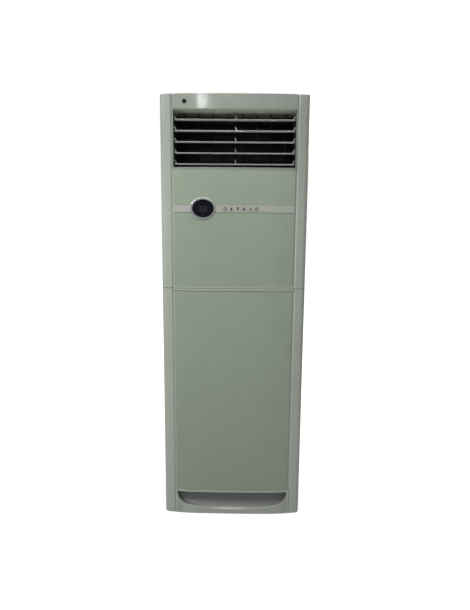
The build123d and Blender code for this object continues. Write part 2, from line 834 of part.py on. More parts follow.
# ================================================================ air outlet
blade_end_x = outlet_half - louver_end_gap
nose_y = louver_pivot_y - pivot_back + blade_nose / 2
blade_reach = blade_chord - blade_nose / 2 - blade_tail / 2
tail_y = nose_y + blade_reach * cos(radians(blade_tilt))
tail_rise = blade_reach * sin(radians(blade_tilt))
tab_x = comb_thickness / 2 + side_play
for number, z in enumerate(louver_zs, start=1):
    nose_z = z - pivot_rise
    with BuildPart() as louver:
        with BuildSketch(side_plane(-blade_end_x)):
            add(tapered_hull((nose_y, nose_z), blade_nose / 2, (tail_y, nose_z + tail_rise), blade_tail / 2))
        extrude(amount=2 * blade_end_x)
        for side in (-1, 1):
            with BuildSketch(front_plane(louver_pivot_y + ear_depth / 2)):
                with BuildLine():
                    Polyline(
                        (side * blade_end_x, z + ear_top),
                        (side * blade_end_x, nose_z),
                        (side * (blade_end_x - ear_width), nose_z),
                        close=True,
                    )
                make_face()
            extrude(amount=ear_depth)
            with BuildSketch(side_plane(side * (blade_end_x - ear_top / 2))):
                with Locations((louver_pivot_y, z)):
                    Circle(louver_pin_radius)
            extrude(amount=side * (ear_top / 2 + louver_end_gap + louver_pin_depth))
        with BuildSketch(front_plane(louver_pivot_y + tab_depth / 2)):
            with BuildLine():
                Polyline(
                    (tab_x, z + tab_top),
                    (tab_x, nose_z),
                    (tab_x + tab_thickness + tab_flare, nose_z),
                    (tab_x + tab_thickness, z + tab_top),
                    close=True,
                )
            make_face()
        extrude(amount=tab_depth)
        with BuildSketch(side_plane(0)):
            with Locations((louver_pivot_y, z)):
                Circle(peg_radius + pin_clearance)
        extrude(amount=tab_x + tab_thickness + tab_flare, mode=Mode.SUBTRACT)
    finish(louver, f"louver_{number}")

with BuildPart() as louver_comb:
    spine_y = louver_pivot_y + comb_arm_reach
    arm_rise = comb_arm_reach * tan(radians(comb_arm_slope))
    with BuildSketch(side_plane(-comb_thickness / 2)):
        with Locations((spine_y, outlet_z + outlet_height / 2)):
            Rectangle(comb_spine_depth, outlet_height)
    extrude(amount=comb_thickness)
    for z in louver_zs:
        with BuildSketch(side_plane(-comb_thickness / 2)):
            add(tapered_hull((louver_pivot_y, z), comb_arm_radius, (spine_y, z + arm_rise), comb_arm_radius))
        extrude(amount=comb_thickness)
        with BuildSketch(side_plane(0)):
            with Locations((louver_pivot_y, z)):
                Circle(peg_radius)
        extrude(amount=tab_x + tab_thickness)
finish(louver_comb, "louver_comb")

vane_xs = [vane_pitch * (i - (vane_count - 1) / 2) for i in range(vane_count)]
duct_floor_z = outlet_z - duct_wall
vane_z = outlet_z + vane_end_gap
vane_height = outlet_height - 2 * vane_end_gap
crank_y = vane_pivot_y + crank_radius
link_z = vane_z + notch_rise + notch_height / 2
with BuildPart() as outlet_duct:
    duct_back_y = case_front_y + duct_length
    with BuildSketch(front_plane(duct_back_y)):
        with Locations((0, outlet_z + outlet_height / 2)):
            Rectangle(2 * (outlet_half + duct_wall), outlet_height + 2 * duct_wall)
            Rectangle(2 * outlet_half, outlet_height, mode=Mode.SUBTRACT)
    extrude(amount=duct_length)
    with BuildSketch(Plane.XY.offset(duct_floor_z)):
        with Locations(*[(x, vane_pivot_y) for x in vane_xs]):
            Circle(vane_pin_radius + pin_clearance)
    extrude(amount=outlet_height + 2 * duct_wall, mode=Mode.SUBTRACT)
finish(outlet_duct, "outlet_duct")

with BuildPart() as air_deflector:
    deflector_top = outlet_top_z + deflector_wall
    turn_y = duct_back_y + fit_gap + deflector_lead
    deflector_radius = inner_rear_y - turn_y
    turn_z = deflector_top - deflector_radius
    turn_reach = deflector_radius * cos(radians(45))
    inner_radius = deflector_radius - deflector_wall
    inner_reach = inner_radius * cos(radians(45))
    with BuildSketch(side_plane(screw_x - flange_width / 2)):
        with BuildLine():
            outer_turn = ThreePointArc(
                (turn_y, deflector_top),
                (turn_y + turn_reach, turn_z + turn_reach),
                (inner_rear_y, turn_z),
            )
            inner_turn = ThreePointArc(
                (turn_y, outlet_top_z),
                (turn_y + inner_reach, turn_z + inner_reach),
                (turn_y + inner_radius, turn_z),
            )
            Polyline(
                outer_turn @ 0,
                (duct_back_y + fit_gap, deflector_top),
                (duct_back_y + fit_gap, outlet_top_z),
                inner_turn @ 0,
            )
            Polyline(
                outer_turn @ 1,
                (inner_rear_y, turn_z - deflector_leg),
                (turn_y + inner_radius, turn_z - deflector_leg),
                inner_turn @ 1,
            )
        make_face()
    extrude(amount=flange_width - 2 * screw_x)
finish(air_deflector, "air_deflector")

for number, x in enumerate(vane_xs, start=1):
    with BuildPart() as vane:
        with BuildSketch(Plane.XY.offset(vane_z)):
            with Locations((x, vane_pivot_y)):
                SlotOverall(vane_chord, vane_thickness, rotation=90)
        extrude(amount=vane_height)
        with BuildSketch(Plane.XY.offset(vane_z + notch_rise)):
            with Locations((x, vane_pivot_y + vane_chord / 2)):
                Rectangle(2 * vane_thickness, 2 * notch_depth)
        extrude(amount=notch_height, mode=Mode.SUBTRACT)
        with BuildSketch(Plane.XY.offset(vane_z + notch_rise - vane_thickness / 2)):
            with Locations((x, crank_y)):
                Circle(crank_pin_radius)
        extrude(amount=notch_height + vane_thickness)
        shaft_drop = vane_end_gap + duct_wall + vane_pin_reach
        if number == 1:
            shaft_drop = vane_end_gap + duct_wall + drive_shaft_length
        with BuildSketch(Plane.XY.offset(vane_z - shaft_drop)):
            with Locations((x, vane_pivot_y)):
                Circle(vane_pin_radius)
        extrude(amount=shaft_drop + vane_thickness)
        with BuildSketch(Plane.XY.offset(vane_z + vane_height - vane_thickness)):
            with Locations((x, vane_pivot_y)):
                Circle(vane_pin_radius)
        extrude(amount=vane_thickness + vane_end_gap + duct_wall + vane_pin_reach)
    finish(vane, f"vane_{number}")

with BuildPart() as vane_link_bar:
    with BuildSketch(Plane.XY.offset(link_z - link_thickness / 2)):
        with Locations((0, crank_y)):
            SlotCenterToCenter(vane_xs[-1] - vane_xs[0] + link_width, link_width)
        with Locations(*[(x, crank_y) for x in vane_xs]):
            Circle(crank_pin_radius + pin_clearance, mode=Mode.SUBTRACT)
    extrude(amount=link_thickness)
finish(vane_link_bar, "vane_link_bar")

with BuildPart() as swing_motor:
    with BuildSketch(Plane.XY.offset(duct_floor_z - stepper_height)):
        with Locations((vane_xs[0], vane_pivot_y)):
            Circle(stepper_radius)
    extrude(amount=stepper_height)
    with BuildSketch(Plane.XY.offset(duct_floor_z - sheet)):
        with Locations((vane_xs[0], vane_pivot_y)):
            SlotOverall(stepper_lug, stepper_radius / 2)
    extrude(amount=sheet)
    with BuildSketch(Plane.XY.offset(duct_floor_z)):
        with Locations((vane_xs[0], vane_pivot_y)):
            Circle(vane_pin_radius + pin_clearance)
    extrude(amount=-drive_shaft_length - fit_gap, mode=Mode.SUBTRACT)
finish(swing_motor, "swing_motor")

# ================================================================ fan section
neck_left_x = blower_x + outlet_left
scroll_centre = (-scroll_step / 2, -scroll_step / 2)


def scroll_outline(grow):
    """Scroll and neck, from three quarter arcs of growing radius, grown by a wall."""
    cx = blower_x + scroll_centre[0]
    cz = blower_z + scroll_centre[1]
    r1 = scroll_start_radius + grow
    r2 = r1 + scroll_step
    r3 = r2 + scroll_step
    h = cos(radians(45))
    bx = cx + scroll_step
    dz = cz + scroll_step
    neck_x = neck_left_x - grow
    with BuildSketch() as outline:
        with BuildLine():
            ThreePointArc((cx, cz + r1), (cx - r1 * h, cz + r1 * h), (cx - r1, cz))
            ThreePointArc((cx - r1, cz), (bx - r2 * h, cz - r2 * h), (bx, cz - r2))
            ThreePointArc((bx, cz - r2), (bx + r3 * h, dz - r3 * h), (bx + r3, dz))
            Polyline(
                (bx + r3, dz),
                (bx + r3, partition_z),
                (neck_x, partition_z),
                (neck_x, cz + r1),
                (cx, cz + r1),
            )
        make_face()
    return outline.sketch


neck_right_x = blower_x + 0.5 * scroll_step + scroll_start_radius + 2 * scroll_step
blower_back_y = blower_front_y + blower_depth
with BuildPart() as blower_housing:
    with BuildSketch(front_plane(blower_back_y)):
        add(scroll_outline(blower_wall))
    extrude(amount=blower_depth)
    with BuildSketch(Plane.XY.offset(partition_z - blower_wall)):
        with Locations(((neck_left_x + neck_right_x) / 2, (blower_front_y + blower_back_y) / 2)):
            Rectangle(neck_right_x - neck_left_x + 8 * blower_wall, blower_depth + 6 * blower_wall)
    extrude(amount=blower_wall)
    with BuildSketch(front_plane(blower_back_y - blower_wall)):
        add(scroll_outline(0))
    extrude(amount=blower_depth - 2 * blower_wall, mode=Mode.SUBTRACT)
    with BuildSketch(front_plane(blower_back_y + blower_wall)):
        with Locations((blower_x, blower_z)):
            Circle(motor_opening_radius)
    extrude(amount=4 * blower_wall, mode=Mode.SUBTRACT)
    with BuildSketch(front_plane(blower_front_y + 2 * blower_wall)):
        with Locations((blower_x, blower_z)):
            Circle(inlet_radius)
    extrude(amount=4 * blower_wall, mode=Mode.SUBTRACT)
    with BuildSketch(Plane(origin=(blower_x, blower_front_y, blower_z), x_dir=(1, 0, 0), z_dir=(0, 0, 1))):
        with Locations((inlet_radius + bell_radius, 0)):
            Circle(bell_radius)
            Circle(bell_radius - blower_wall, mode=Mode.SUBTRACT)
        with Locations((inlet_radius + bell_radius / 2, -bell_radius / 2)):
            Rectangle(bell_radius, bell_radius, mode=Mode.INTERSECT)
    revolve(axis=Axis((blower_x, blower_front_y, blower_z), (0, 1, 0)))
finish(blower_housing, "blower_housing")

wheel_front_y = blower_front_y + blower_wall + wheel_gap
wheel_back_y = wheel_front_y + wheel_width
with BuildSketch() as wheel_blade:
    tip = wheel_radius - wheel_ring / 4
    root = wheel_inner_radius - wheel_ring / 4
    with BuildLine():
        middle = (root + tip) / 2
        outer_arc = ThreePointArc((root, 0), (middle, wheel_blade_bulge), (tip, wheel_blade_sweep))
        inner_arc = ThreePointArc(
            (root, wheel_blade_thickness),
            (middle - wheel_blade_thickness / 2, wheel_blade_bulge + wheel_blade_thickness),
            (tip - wheel_blade_thickness, wheel_blade_sweep + wheel_blade_thickness / 2),
        )
        Line(outer_arc @ 0, inner_arc @ 0)
        Line(outer_arc @ 1, inner_arc @ 1)
    make_face()

with BuildPart() as blower_wheel:
    with BuildSketch(front_plane(wheel_back_y)):
        with Locations((blower_x, blower_z)):
            Circle(wheel_radius)
            Circle(shaft_radius + pin_clearance, mode=Mode.SUBTRACT)
    extrude(amount=wheel_disc)
    with BuildSketch(front_plane(wheel_back_y)):
        with Locations((blower_x, blower_z)):
            with PolarLocations(0, wheel_blades):
                add(wheel_blade.sketch)
    extrude(amount=wheel_width)
    with BuildSketch(front_plane(wheel_front_y + wheel_ring)):
        with Locations((blower_x, blower_z)):
            Circle(wheel_radius)
            Circle(wheel_radius - wheel_ring, mode=Mode.SUBTRACT)
    extrude(amount=wheel_ring)
    with BuildSketch(front_plane(wheel_back_y)):
        with Locations((blower_x, blower_z)):
            Circle(hub_radius)
            Circle(shaft_radius + pin_clearance, mode=Mode.SUBTRACT)
    extrude(amount=hub_length)
finish(blower_wheel, "blower_wheel")

with BuildPart() as motor_bracket:
    with BuildSketch(front_plane(blower_back_y + bracket_thickness)):
        with Locations((blower_x, blower_z)):
            Circle(motor_opening_radius + 2 * bracket_thickness)
            with PolarLocations(bracket_radius - bracket_thickness * 8, 3, start_angle=90):
                Rectangle(bracket_thickness * 16, motor_radius / 2)
            Circle(motor_radius + fit_gap, mode=Mode.SUBTRACT)
    extrude(amount=bracket_thickness)
finish(motor_bracket, "motor_bracket")

with BuildPart() as blower_motor:
    motor_front_y = wheel_back_y + motor_gap
    with BuildSketch(front_plane(motor_front_y + motor_length)):
        with Locations((blower_x, blower_z)):
            Circle(motor_radius)
    extrude(amount=motor_length)
    fillet(blower_motor.edges().filter_by(GeomType.CIRCLE), radius=motor_gap)
    flange_front_y = blower_back_y + bracket_thickness
    with BuildSketch(front_plane(flange_front_y + bracket_thickness)):
        with Locations((blower_x, blower_z)):
            Circle(motor_opening_radius)
    extrude(amount=bracket_thickness)
    with BuildSketch(front_plane(motor_front_y + motor_gap)):
        with Locations((blower_x, blower_z)):
            Circle(shaft_radius)
    extrude(amount=2 * motor_gap + hub_length)
finish(blower_motor, "blower_motor")

seam_x = neck_right_x + neck_gap
neck_room = blower_depth - 2 * blower_wall + 2 * neck_gap
with BuildPart() as partition_plate:
    with BuildSketch(Plane.XY.offset(partition_z)):
        with Locations(((seam_x - side_inner_x) / 2, inner_mid_y)):
            Rectangle(seam_x + side_inner_x, inner_depth)
        with Locations(((neck_left_x + neck_right_x) / 2, (blower_front_y + blower_back_y) / 2)):
            Rectangle(seam_x + neck_gap - neck_left_x, neck_room, mode=Mode.SUBTRACT)
        with Locations((spigot_x, spigot_y)):
            Circle(2 * spigot_radius, mode=Mode.SUBTRACT)
    extrude(amount=sheet)
    with BuildSketch(Plane.XY.offset(partition_z)):
        with Locations((sheet / 2 - side_inner_x, inner_mid_y)):
            Rectangle(sheet, inner_depth)
    extrude(amount=flange_width)
finish(partition_plate, "partition_plate")

# The sheet beside the neck comes out alone, so that the pipes can be reached.
with BuildPart() as pipe_bay_plate:
    with BuildSketch(Plane.XY.offset(partition_z)):
        with Locations(((side_inner_x + seam_x) / 2, inner_mid_y)):
            Rectangle(side_inner_x - seam_x, inner_depth)
        with Locations(((gas_x + liquid_x) / 2, pipe_y)):
            SlotOverall(gas_x - liquid_x + 4 * gas_radius, 3 * gas_radius, mode=Mode.SUBTRACT)
    extrude(amount=sheet)
    with BuildSketch(Plane.XY.offset(partition_z)):
        with Locations((side_inner_x - sheet / 2, inner_mid_y)):
            Rectangle(sheet, inner_depth)
    extrude(amount=flange_width)
finish(pipe_bay_plate, "pipe_bay_plate")

with BuildPart() as electric_box:
    electric_y = case_front_y + 2 * sheet + electric_depth / 2
    with BuildSketch(Plane.XY.offset(partition_z - electric_height)):
        with Locations((electric_x, electric_y)):
            Rectangle(electric_width, electric_depth)
    extrude(amount=electric_height)
    with BuildSketch(Plane.XY.offset(partition_z)):
        with Locations((electric_x, electric_y)):
            Rectangle(electric_width - 2 * sheet, electric_depth - 2 * sheet)
    extrude(amount=sheet - electric_height, mode=Mode.SUBTRACT)
finish(electric_box, "electric_box")

# ================================================================ cooling section
end_half = coil_thickness / 2 + end_plate_lip
slope_sin = sin(radians(coil_slope))
slope_cos = cos(radians(coil_slope))
coil_foot_z = drain_z + drain_wall + fit_gap + end_half * slope_sin
coil_plane = Plane(origin=(0, coil_foot_y, coil_foot_z), x_dir=(1, 0, 0), z_dir=(0, -slope_cos, slope_sin))
with BuildPart(coil_plane) as evaporator_fins:
    along = (Align.CENTER, Align.MIN, Align.CENTER)
    with GridLocations((coil_width - fin_thickness) / (fin_count - 1), 1, fin_count, 1):
        Box(fin_thickness, coil_length, coil_thickness, align=along)
    Box(coil_width, coil_cap, coil_thickness, align=along)
    with Locations((0, coil_length - coil_cap, 0)):
        Box(coil_width, coil_cap, coil_thickness, align=along)
    with GridLocations(coil_width + end_plate, 1, 2, 1):
        Box(end_plate, coil_length, 2 * end_half, align=along)
finish(evaporator_fins, "evaporator_fins")

coil_end_x = coil_width / 2 + end_plate
with BuildPart() as return_bend:
    with BuildLine() as bend_path:
        Line((0, 0), (bend_stub, 0))
        ThreePointArc((bend_stub, 0), (bend_stub + bend_radius, bend_radius), (bend_stub, 2 * bend_radius))
        Line((bend_stub, 2 * bend_radius), (0, 2 * bend_radius))
    with BuildSketch(Plane.YZ):
        Circle(tube_radius)
    sweep(path=bend_path.line)

with BuildPart(coil_plane) as evaporator_tubes:
    for i in range(bend_count):
        row = bend_row if i % 2 else -bend_row
        with Locations((coil_end_x, bend_first + bend_pitch * i - bend_radius, row)):
            add(return_bend.part)
    mirror(about=Plane.YZ)
finish(evaporator_tubes, "evaporator_tubes")


def coil_point(height):
    """Depth and height in the unit of a point on the coil's middle plane."""
    return coil_foot_y + height * slope_sin, coil_foot_z + height * slope_cos


for name, x, radius, height, end_z in (
    ("gas_pipe", gas_x, gas_radius, gas_height, gas_end_z),
    ("liquid_pipe", liquid_x, liquid_radius, liquid_height, liquid_end_z),
):
    start_y, start_z = coil_point(height)
    with BuildPart() as pipe:
        with BuildLine() as route:
            FilletPolyline(
                (coil_end_x, start_y, start_z),
                (x, start_y, start_z),
                (x, pipe_y, start_z),
                (x, pipe_y, end_z),
                radius=pipe_bend,
            )
        with BuildSketch(side_plane(coil_end_x)):
            with Locations((start_y, start_z)):
                Circle(radius)
        sweep(path=route.line)
        with BuildSketch(Plane.XY.offset(end_z)):
            with Locations((x, pipe_y)):
                RegularPolygon(radius + nut_wall, 6, major_radius=False)
        extrude(amount=nut_height)
        with BuildSketch(Plane.XY.offset(end_z - union_length)):
            with Locations((x, pipe_y)):
                Circle(radius + nut_wall / 2)
        extrude(amount=union_length)
    finish(pipe, name)

with BuildPart() as drain_pan:
    drain_front_y = case_front_y + sheet
    drain_mid_y = drain_front_y + drain_depth / 2
    with BuildSketch(Plane.XY.offset(drain_z)):
        with Locations((0, drain_mid_y)):
            Rectangle(2 * side_inner_x, drain_depth)
    extrude(amount=drain_height)
    with BuildSketch(Plane.XY.offset(drain_z + drain_wall)):
        with Locations((0, drain_mid_y)):
            Rectangle(2 * (side_inner_x - drain_wall), drain_depth - 2 * drain_wall)
    extrude(amount=drain_height, mode=Mode.SUBTRACT)
    with BuildSketch(Plane.XY.offset(drain_z)):
        with Locations((spigot_x, spigot_y)):
            Circle(spigot_radius)
    extrude(amount=-spigot_length)
    with BuildSketch(Plane.XY.offset(drain_z + drain_wall)):
        with Locations((spigot_x, spigot_y)):
            Circle(spigot_bore)
    extrude(amount=-spigot_length - 2 * drain_wall, mode=Mode.SUBTRACT)
finish(drain_pan, "drain_pan")

# ================================================================ side intakes
window_mid_y = window_front_y + window_width / 2
window_mid_z = window_z + window_height / 2
opening_width = window_width - 2 * fit_gap - 2 * grille_border
opening_height = window_height - 2 * fit_gap - 2 * grille_border
with BuildPart() as right_intake_grille:
    grille_width = window_width - 2 * fit_gap
    grille_height = window_height - 2 * fit_gap
    with BuildSketch(side_plane(half_width - grille_depth)):
        with Locations((window_mid_y, window_mid_z)):
            RectangleRounded(grille_width, grille_height, grille_border / 2 - fit_gap)
            Rectangle(opening_width, opening_height, mode=Mode.SUBTRACT)
    extrude(amount=grille_depth)
    slat_pitch = opening_height / slat_count
    slat_width = grille_depth - slat_thickness
    with BuildSketch(front_plane(window_mid_y + opening_width / 2 + fit_gap)):
        with Locations((half_width - grille_depth / 2, window_mid_z)):
            with GridLocations(1, slat_pitch, 1, slat_count):
                Rectangle(slat_width, slat_thickness, rotation=-slat_tilt)
    extrude(amount=opening_width + 2 * fit_gap)
finish(right_intake_grille, "right_intake_grille")

with BuildPart() as right_air_filter:
    filter_width = window_width - 2 * grille_border / 2
    filter_height = window_height - 2 * grille_border / 2
    filter_x = half_width - grille_depth - filter_depth
    inner_width = filter_width - 2 * filter_border
    inner_height = filter_height - 2 * filter_border
    with BuildSketch(side_plane(filter_x)):
        with Locations((window_mid_y, window_mid_z)):
            Rectangle(filter_width, filter_height)
            Rectangle(inner_width, inner_height, mode=Mode.SUBTRACT)
            with GridLocations(1, inner_height / (filter_ribs + 1), 1, filter_ribs):
                Rectangle(inner_width + filter_border, filter_border / 2)
            Rectangle(filter_border / 2, inner_height + filter_border)
    extrude(amount=filter_depth)
    with BuildSketch(side_plane(filter_x + filter_depth / 2)):
        with Locations((window_mid_y, window_mid_z)):
            Rectangle(inner_width + filter_border, inner_height + filter_border)
    extrude(amount=filter_mesh)
finish(right_air_filter, "right_air_filter")

with BuildPart() as left_intake_grille:
    mirror(right_intake_grille.part, about=Plane.YZ)
finish(left_intake_grille, "left_intake_grille")

with BuildPart() as left_air_filter:
    mirror(right_air_filter.part, about=Plane.YZ)
finish(left_air_filter, "left_air_filter")
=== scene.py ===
import json
import math

import bmesh
import bpy
from mathutils import Matrix, Vector


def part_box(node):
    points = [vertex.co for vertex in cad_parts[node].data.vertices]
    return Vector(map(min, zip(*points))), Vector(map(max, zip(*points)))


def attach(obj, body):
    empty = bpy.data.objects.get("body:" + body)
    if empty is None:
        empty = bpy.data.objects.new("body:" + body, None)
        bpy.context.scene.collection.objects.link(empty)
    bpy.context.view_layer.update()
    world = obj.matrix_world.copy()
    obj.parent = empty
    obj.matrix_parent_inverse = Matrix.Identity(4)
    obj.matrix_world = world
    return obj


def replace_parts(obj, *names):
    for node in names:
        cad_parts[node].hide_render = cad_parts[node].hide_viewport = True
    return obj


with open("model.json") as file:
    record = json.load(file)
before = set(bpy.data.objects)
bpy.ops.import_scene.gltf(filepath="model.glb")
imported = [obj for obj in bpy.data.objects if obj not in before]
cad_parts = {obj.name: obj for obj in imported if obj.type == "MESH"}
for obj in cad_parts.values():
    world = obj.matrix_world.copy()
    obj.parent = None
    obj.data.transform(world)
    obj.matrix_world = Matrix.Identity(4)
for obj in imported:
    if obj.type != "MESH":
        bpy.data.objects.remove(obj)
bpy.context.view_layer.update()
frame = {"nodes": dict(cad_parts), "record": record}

# Looks of the floor standing air conditioner. Metres, +Z up, the front faces -Y.
nodes = frame["nodes"]
MM = 0.001


def swatch(red, green, blue):
    """A paint swatch measured in 0 to 255 steps, as a linear colour."""
    linear = []
    for step in (red, green, blue):
        part = step / 255
        linear.append(part / 12.92 if part <= 0.04045 else ((part + 0.055) / 1.055) ** 2.4)
    return (*linear, 1.0)


def shaded(colour, share):
    """The same colour with only a share of its light."""
    return [channel * share for channel in colour[:3]] + [1.0]


# ---------------------------------------------------------------- tools for node trees
COLOUR, NUMBER, VECTOR = "NodeSocketColor", "NodeSocketFloat", "NodeSocketVector"


def new_group(name, inputs, outputs):
    """A shared effect: its group, and the inside ends of its inputs and outputs."""
    group = bpy.data.node_groups.new(name, "ShaderNodeTree")
    for label, kind, value in inputs:
        socket = group.interface.new_socket(name=label, in_out="INPUT", socket_type=kind)
        socket.default_value = value
    for label, kind in outputs:
        group.interface.new_socket(name=label, in_out="OUTPUT", socket_type=kind)
    given = group.nodes.new("NodeGroupInput").outputs
    out = group.nodes.new("NodeGroupOutput").inputs
    return group, given, out


def give(tree, socket, value):
    """Links a socket to another one, or sets its value."""
    if isinstance(value, bpy.types.NodeSocket):
        tree.links.new(value, socket)
    else:
        socket.default_value = value


def feed(tree, node, **values):
    """Gives a node's sockets their values or links. Names have _ for a space."""
    for label, value in values.items():
        give(tree, node.inputs[label.replace("_", " ")], value)


def put(tree, kind, settings=None, **values):
    """Adds a node; settings are its own properties, values go to its sockets."""
    node = tree.nodes.new(kind)
    for key, value in (settings or {}).items():
        setattr(node, key, value)
    feed(tree, node, **values)
    return node


def sums(tree, operation, first, second=None, third=None, clamp=False):
    """A Math node from numbers or sockets."""
    node = put(tree, "ShaderNodeMath", {"operation": operation, "use_clamp": clamp})
    for socket, value in zip(node.inputs, (first, second, third)):
        if value is not None:
            give(tree, socket, value)
    return node.outputs[0]


def times(tree, first, second):
    """One number or mask times another."""
    return sums(tree, "MULTIPLY", first, second)


def opposite(tree, mask):
    """1 where a mask is 0, and the other way round."""
    return sums(tree, "SUBTRACT", 1.0, mask)


def between(tree, amount, low, high):
    """low where amount is 0, high where it is 1."""
    ranged = put(tree, "ShaderNodeMapRange", Value=amount, To_Min=low, To_Max=high)
    return ranged.outputs["Result"]


def rise(tree, value, low, high):
    """0 below low, 1 above high, and a soft step between them."""
    ranged = put(tree, "ShaderNodeMapRange", {"interpolation_type": "SMOOTHSTEP"},
                 Value=value, From_Min=low, From_Max=high)
    return ranged.outputs["Result"]


def tint(tree, amount, under, over):
    """Lays one colour over another as strongly as amount says."""
    node = put(tree, "ShaderNodeMix", {"data_type": "RGBA"})
    factor, first, second = node.inputs[0], node.inputs[6], node.inputs[7]
    for socket, value in ((factor, amount), (first, under), (second, over)):
        give(tree, socket, value)
    return node.outputs[2]


def place(tree):
    """Where a point lies, in the piece's own coordinates, which are the shared frame's."""
    return tree.nodes.new("ShaderNodeTexCoord").outputs["Object"]


def facing(tree):
    """The way the surface faces."""
    return tree.nodes.new("ShaderNodeNewGeometry").outputs["Normal"]


def axes(tree, vector):
    """A vector's three parts."""
    return put(tree, "ShaderNodeSeparateXYZ", Vector=vector).outputs


def cloud(tree, vector, **values):
    """Plain noise."""
    return put(tree, "ShaderNodeTexNoise", Vector=vector, **values).outputs["Fac"]


def stretched(tree, **values):
    """Place, turned or scaled before a pattern is laid on it."""
    return put(tree, "ShaderNodeMapping", Vector=place(tree), **values).outputs["Vector"]


# ---------------------------------------------------------------- effects shared by the finishes
def make_moulded_tone():
    """Slow drift between two close tones, as in any large moulding or sprayed panel."""
    fine_ratio, fine_share = 9.0, 0.3
    patch_edge = (0.36, 0.64)
    group, given, out = new_group(
        "moulded_tone",
        [("Light", COLOUR, (1, 1, 1, 1)), ("Dark", COLOUR, (0, 0, 0, 1)),
         ("Size", NUMBER, 6.0), ("Spread", NUMBER, 0.7)],
        [("Color", COLOUR), ("Patch", NUMBER)],
    )
    coarse = cloud(group, place(group), Scale=given["Size"], Detail=3.0, Roughness=0.55)
    fine = cloud(group, place(group), Scale=times(group, given["Size"], fine_ratio), Detail=2.0)
    blend = sums(group, "MULTIPLY_ADD", fine, fine_share, times(group, coarse, 1.0 - fine_share))
    patch = rise(group, blend, *patch_edge)
    held = times(group, patch, given["Spread"])
    give(group, out["Color"], tint(group, held, given["Light"], given["Dark"]))
    give(group, out["Patch"], patch)
    return group


def make_spark_grain():
    """Fine eroded grain of the mould, or the orange peel of a powder coat."""
    peel_ratio = 0.3
    group, given, out = new_group(
        "spark_grain",
        [("Size", NUMBER, 900.0), ("Peel", NUMBER, 0.3)],
        [("Height", NUMBER)],
    )
    grain = cloud(group, place(group), Scale=given["Size"], Detail=2.0, Roughness=0.6)
    peel = put(group, "ShaderNodeTexVoronoi", {"feature": "SMOOTH_F1"}, Vector=place(group),
               Scale=times(group, given["Size"], peel_ratio)).outputs["Distance"]
    give(group, out["Height"], between(group, given["Peel"], grain, peel))
    return group


def make_edge_rub():
    """Soft small radius on every edge, and a mask where hands and cloths have polished it."""
    edge_turn, patch_edge = (0.01, 0.22), (0.36, 0.62)
    group, given, out = new_group(
        "edge_rub",
        [("Radius", NUMBER, 1.2 * MM), ("Size", NUMBER, 60.0)],
        [("Mask", NUMBER), ("Normal", VECTOR)],
    )
    soft = put(group, "ShaderNodeBevel", {"samples": 6}, Radius=given["Radius"]).outputs["Normal"]
    align = put(group, "ShaderNodeVectorMath", {"operation": "DOT_PRODUCT"})
    give(group, align.inputs[0], soft)
    give(group, align.inputs[1], facing(group))
    turned = opposite(group, align.outputs["Value"])
    patchy = cloud(group, place(group), Scale=given["Size"], Detail=4.0)
    worn = times(group, rise(group, turned, *edge_turn), rise(group, patchy, *patch_edge))
    give(group, out["Mask"], worn)
    give(group, out["Normal"], soft)
    return group


def make_settled_dust():
    """Dust on what faces up, thin and patchy."""
    level, thinnest = (0.25, 0.95), 0.35
    group, given, out = new_group("settled_dust", [("Size", NUMBER, 30.0)], [("Mask", NUMBER)])
    up = axes(group, facing(group))["Z"]
    drift = cloud(group, place(group), Scale=given["Size"], Detail=5.0, Roughness=0.65)
    mask = times(group, rise(group, up, *level), between(group, drift, thinnest, 1.0))
    give(group, out["Mask"], mask)
    return group


def make_floor_scuff():
    """Scuffs and mop marks on the lowest part, fading with height."""
    mark_edge, flatness = (0.42, 0.72), 5.0
    group, given, out = new_group(
        "floor_scuff",
        [("Height", NUMBER, 0.12), ("Size", NUMBER, 14.0)],
        [("Mask", NUMBER)],
    )
    height = axes(group, place(group))["Z"]
    near = opposite(group, rise(group, sums(group, "DIVIDE", height, given["Height"]), 0.0, 1.0))
    streak = stretched(group, Scale=(1.0, 1.0, flatness))
    marks = cloud(group, streak, Scale=given["Size"], Detail=6.0, Roughness=0.7)
    give(group, out["Mask"], times(group, near, rise(group, marks, *mark_edge)))
    return group


def make_wiped_smears():
    """Broad wiping marks that change only the gloss."""
    mark_edge = (0.4, 0.7)
    group, given, out = new_group("wiped_smears", [("Size", NUMBER, 5.0)], [("Mask", NUMBER)])
    swept = stretched(group, Rotation=(0.0, 0.5, 0.0), Scale=(3.0, 1.0, 0.6))
    marks = cloud(group, swept, Scale=given["Size"], Detail=6.0, Roughness=0.7, Distortion=0.6)
    give(group, out["Mask"], rise(group, marks, *mark_edge))
    return group


def make_drawn_lines():
    """Long fine lines of rolled, drawn or brushed metal."""
    group, given, out = new_group(
        "drawn_lines",
        [("Stretch", VECTOR, (1.0, 1.0, 0.05)), ("Size", NUMBER, 500.0)],
        [("Line", NUMBER)],
    )
    run = stretched(group, Scale=given["Stretch"])
    give(group, out["Line"], cloud(group, run, Scale=given["Size"], Detail=3.0, Roughness=0.6))
    return group


moulded_tone = make_moulded_tone()
spark_grain = make_spark_grain()
edge_rub = make_edge_rub()
settled_dust = make_settled_dust()
floor_scuff = make_floor_scuff()
wiped_smears = make_wiped_smears()
drawn_lines = make_drawn_lines()


def effect(tree, group, **values):
    """Places a shared effect in a material and gives its outputs."""
    return put(tree, "ShaderNodeGroup", {"node_tree": group}, **values).outputs


def blank(name):
    """A material with only its shader: the material, its tree and the shader node."""
    finish = bpy.data.materials.new(name)
    finish.use_nodes = True
    tree = finish.node_tree
    return finish, tree, tree.nodes["Principled BSDF"]


def relief(tree, height, depth, normal=None):
    """Bump of a real depth in metres, over a base normal."""
    node = put(tree, "ShaderNodeBump", Height=height, Distance=depth, Strength=1.0)
    if normal is not None:
        give(tree, node.inputs["Normal"], normal)
    return node.outputs["Normal"]


